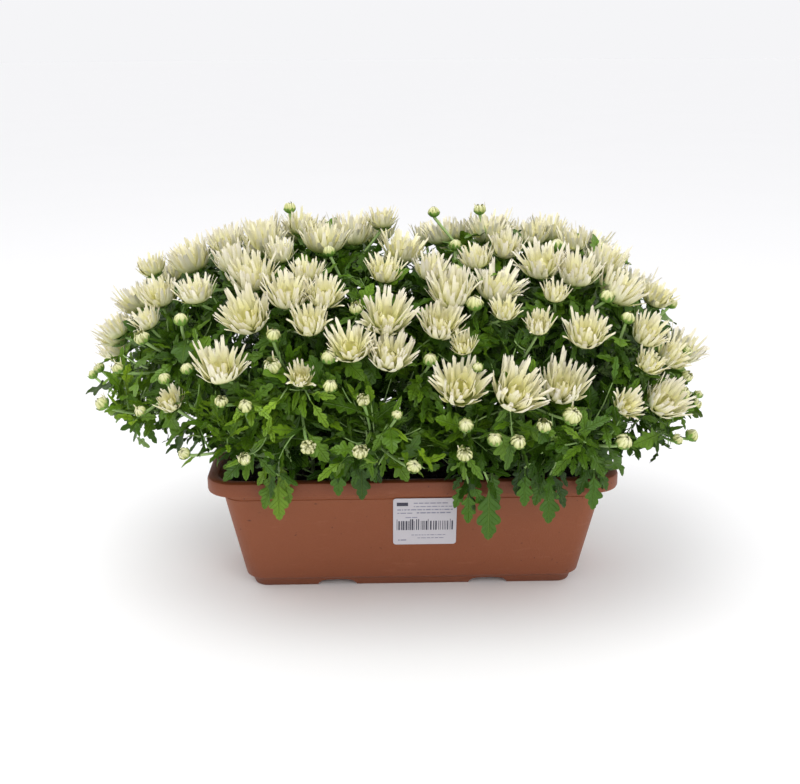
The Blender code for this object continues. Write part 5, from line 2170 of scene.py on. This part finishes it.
@dataclass
class PottingSoil:
    """The crumbly top of the root ball, with loose crumbs and bits of bark on it."""

    columns: int = 150
    rows: int = 60
    corner: float = 0.02
    crumbs: int = 420
    seed: int = 11

    def build(self, material: Material) -> None:
        """Builds the soil as one piece.

        Args:
            material: The peat.
        """
        mesh = PieceMesh("potting_soil")
        half_x, half_y = (reach - WALL - GAP for reach in wall_at(SOIL_TOP))
        points = []
        for i in range(self.rows):
            for j in range(self.columns):
                x = half_x * (2 * j / (self.columns - 1) - 1)
                y = half_y * (2 * i / (self.rows - 1) - 1)
                inner_x, inner_y = half_x - self.corner, half_y - self.corner
                past = Vector((max(0.0, abs(x) - inner_x), max(0.0, abs(y) - inner_y)))
                if past.length > self.corner:
                    past *= self.corner / past.length
                    x = math.copysign(inner_x + past.x, x)
                    y = math.copysign(inner_y + past.y, y)
                at = Vector((x, y, 0.0))
                lump = 0.0022 * noise.noise(at * 70) + 0.0016 * noise.noise(at * 260)
                edge = min(1.0, (half_y - abs(y)) / 0.01, (half_x - abs(x)) / 0.01)
                points.append((x, y, SOIL_TOP + 0.0020 * edge + lump * max(0.2, edge)))
        grid = np.array(points)
        mesh.add(grid, grid_faces(self.rows, self.columns))
        draw = random.Random(self.seed)
        for _ in range(self.crumbs):
            x = half_x * 0.94 * (2 * draw.random() - 1)
            y = half_y * 0.90 * (2 * draw.random() - 1)
            size = 0.0008 + 0.0024 * draw.random() ** 2
            self._crumb(mesh, Vector((x, y, SOIL_TOP + 0.0022)), size, draw)
        low_x, low_y = (reach - WALL - GAP for reach in wall_at(FLOOR_TOP + GAP))
        side = []
        for x, y, z in ((low_x, low_y, FLOOR_TOP + GAP), (half_x, half_y, SOIL_TOP - 0.001)):
            side += [(px, py, z) for px, py in rounded_outline(x, y, CORNER_RADIUS - 0.006, 8)]
        mesh.add(np.array(side), grid_faces(2, len(side) // 2, closed=True))
        mesh.finish([material], "soil", "soil")

    def _crumb(self, mesh: PieceMesh, at: Vector, size: float, draw: Draw) -> None:
        """Adds one loose crumb of uneven shape.

        Args:
            mesh: The piece.
            at: Its middle.
            size: Its rough radius.
            draw: Random draws.
        """
        rings = 4
        sides = 6
        points = []
        stretch = (1 + draw.random(), 0.7 + 0.6 * draw.random())
        turn = draw.random() * math.tau
        for i in range(rings):
            tilt = math.pi * (0.12 + 0.76 * i / (rings - 1))
            for j in range(sides):
                angle = math.tau * j / sides
                out = size * (0.8 + 0.4 * draw.random())
                x = out * math.sin(tilt) * math.cos(angle) * stretch[0]
                y = out * math.sin(tilt) * math.sin(angle) * stretch[1]
                points.append((
                    at.x + x * math.cos(turn) - y * math.sin(turn),
                    at.y + x * math.sin(turn) + y * math.cos(turn),
                    at.z + out * math.cos(tilt) * 0.8,
                ))
        mesh.add(np.array(points), grid_faces(rings, sides, closed=True))


@dataclass
class Sticker:
    """The plain sticker on the front wall, printed with generic bars only."""

    corner: float = 0.003
    ink_lift: float = 0.00004
    seed: int = 5

    def _bars(self) -> list[tuple[float, float, float, float, int]]:
        """Lays out the printed rectangles.

        Returns:
            Left, low, right, high and ink number of each.
        """
        draw = random.Random(self.seed)
        half_x, half_y = LABEL_WIDTH / 2, LABEL_HEIGHT / 2
        bars = [(-half_x + 0.0035, half_y - 0.0085, -half_x + 0.0145, half_y - 0.0045, 0)]
        for high, starts, ends, thick in (
            (half_y - 0.0060, 0.020, 0.052, 0.0012), (half_y - 0.0098, 0.020, 0.058, 0.0010),
            (half_y - 0.0135, 0.004, 0.058, 0.0013), (half_y - 0.0172, 0.004, 0.018, 0.0011),
            (half_y - 0.0172, 0.023, 0.054, 0.0015), (half_y - 0.0222, 0.012, 0.022, 0.0010),
            (-half_y + 0.0105, 0.018, 0.050, 0.0009), (-half_y + 0.0070, 0.024, 0.046, 0.0009),
            (-half_y + 0.0045, 0.005, 0.009, 0.0014),
        ):
            x = starts
            while x < ends:
                length = 0.0012 + 0.0045 * draw.random()
                right = min(-half_x + x + length, half_x - 0.003)
                bars.append((-half_x + x, high, right, high + thick, 1))
                x += length + 0.0009
        x = -half_x + 0.0035
        while x < half_x - 0.0045:
            wide = draw.choice((0.0006, 0.0006, 0.0010, 0.0015))
            tall = 0.0105 if draw.random() < 0.85 else 0.0125
            bars.append((x, half_y - 0.0362, x + wide, half_y - 0.0362 + tall, 0))
            x += wide + draw.choice((0.0006, 0.0010, 0.0016))
        return bars

    def build(self, paper: Material, inks: list[Material]) -> None:
        """Builds the sticker and its print.

        Args:
            paper: The sticker's own finish.
            inks: The dark and the grey ink.
        """
        high = wall_at(LABEL_TOP)[1]
        low = wall_at(LABEL_TOP - LABEL_HEIGHT)[1]
        lean = math.atan2(high - low, LABEL_HEIGHT)
        turned = Matrix.Rotation(math.pi / 2 + lean, 4, "X")
        middle = LABEL_TOP - LABEL_HEIGHT / 2
        place = (LABEL_CENTRE_X, -(high + low) / 2 - GAP / math.cos(lean), middle)
        matrix = np.array(Matrix.Translation(place) @ turned)
        mesh = PieceMesh("plain_sticker")
        outline = rounded_outline(LABEL_WIDTH / 2, LABEL_HEIGHT / 2, self.corner, 8)
        count = len(outline)
        rings = [(x, y, z, 1.0) for z in (0.0, LABEL_THICKNESS) for x, y in outline]
        points = (np.array(rings) @ matrix.T)[:, :3]
        mesh.add(points, grid_faces(2, count, closed=True))
        mesh.faces.append(list(range(count, 2 * count)))
        mesh.faces.append(list(range(count))[::-1])
        mesh.slots += [0, 0]
        z = LABEL_THICKNESS + self.ink_lift
        for left, bottom, right, top, ink in self._bars():
            sides = ((left, bottom), (right, bottom), (right, top), (left, top))
            corners = [(x, y, z, 1.0) for x, y in sides]
            mesh.add((np.array(corners) @ matrix.T)[:, :3], np.array(((0, 1, 2, 3),)), 1 + ink)
        piece = mesh.finish([paper, *inks], "label", "label")
        piece.data.set_sharp_from_angle(angle=math.radians(40))


@dataclass
class Studio:
    """Pale floor, soft light and the camera at the photograph's viewing angle."""

    eye: Triple = (-0.0454, -1.0918, 0.5283)
    yaw: float = -1.17
    pitch: float = 17.28
    roll: float = -0.32
    focal_pixels: float = 1137.48
    width_pixels: float = 800.0
    middle_pixels: float = 387.84
    sensor_mm: float = 36.0
    floor_radius: float = 30.0
    aim: Triple = (0.0, 0.0, 0.2)

    def camera(self) -> None:
        """Sets the camera where the trough's corners in the photograph put it."""
        turn, tilt, roll = (math.radians(v) for v in (self.yaw, self.pitch, self.roll))
        back = Vector((
            math.sin(turn) * math.cos(tilt), -math.cos(turn) * math.cos(tilt), math.sin(tilt)
        ))
        right = Vector((math.cos(turn), math.sin(turn), 0.0))
        up = back.cross(right)
        side = right * math.cos(roll) + up * math.sin(roll)
        head = up * math.cos(roll) - right * math.sin(roll)
        lens = bpy.data.cameras.new("studio_camera")
        lens.sensor_width = self.sensor_mm
        lens.lens = self.focal_pixels / self.width_pixels * self.sensor_mm
        lens.shift_x = (self.width_pixels / 2 - self.middle_pixels) / self.width_pixels
        lens.clip_end = 50.0
        camera = linked("studio_camera", lens)
        turned = Matrix((side, head, back)).transposed().to_4x4()
        camera.matrix_world = Matrix.Translation(self.eye) @ turned
        bpy.context.scene.camera = camera

    def _area(self, name: str, at: Triple, size: float, power: float) -> None:
        """Adds one soft area light that faces the plants.

        Args:
            name: Its name.
            at: Its place.
            size: Its diameter in metres.
            power: Its power in watts.
        """
        lamp = bpy.data.lights.new(name, "AREA")
        lamp.shape = "DISK"
        lamp.size = size
        lamp.energy = power
        holder = linked(name, lamp)
        way = Vector(self.aim) - Vector(at)
        turned = way.to_track_quat("-Z", "Y").to_matrix().to_4x4()
        holder.matrix_world = Matrix.Translation(at) @ turned

    def build(self) -> None:
        """Sets up the floor, the light and the camera."""
        bpy.ops.mesh.primitive_circle_add(vertices=96, radius=self.floor_radius, fill_type="NGON")
        floor = bpy.context.object
        floor.name = "studio_floor"
        floor.data.materials.append(PaleFloor().material())
        world = bpy.data.worlds.new("studio_world")
        world.use_nodes = True
        tree = world.node_tree
        way = add_node(tree, "TexCoord", out="Generated")
        up = add_node(tree, "SeparateXYZ", way, out="Z")
        stops = ((0.0, "#F5F5F7"), (0.02, "#F5F5F7"), (0.25, "#FBFCFF"))
        glow = add_node(tree, "ValToRGB", up, stops=stops)
        tree.links.new(glow, tree.nodes["Background"].inputs["Color"])
        bpy.context.scene.world = world
        self._area("top_light", (-0.5, -0.7, 2.0), 1.6, 16.0)
        self._area("front_light", (0.9, -1.9, 1.1), 1.4, 8.0)
        view = bpy.context.scene.view_settings
        view.view_transform = "Standard"
        self.camera()


def main() -> None:
    """Builds every piece in order and reports each."""
    logging.basicConfig(level=logging.INFO, format="%(name)s %(message)s")
    Studio().build()
    Trough().build(MouldedPolypropylene().material())
    PottingSoil().build(MoistPeat().material())
    grey = PrintInk(name="grey_print_ink", dark="#77778A", light="#9494A4")
    Sticker().build(CoatedPaper().material(), [PrintInk().material(), grey.material()])
    plan = GrowthPlan()
    LOG.info(
        "%d sprays, %d heads, %d leaves", len(plan.stems), len(plan.heads),
        sum(len(stem.leaves) + len(stem.rim) for stem in plan.stems),
    )
    finishes = (GreenStem(), LivingLeaf(), LivingPetal(), GreenBract(), BudHeart())
    materials = [finish.material() for finish in finishes]
    heads = HeadMaker()
    leaves = LeafMaker()
    for number, stem in enumerate(plan.stems, 1):
        Spray(number, stem).build(heads, leaves, materials)


if __name__ == "__main__":
    main()
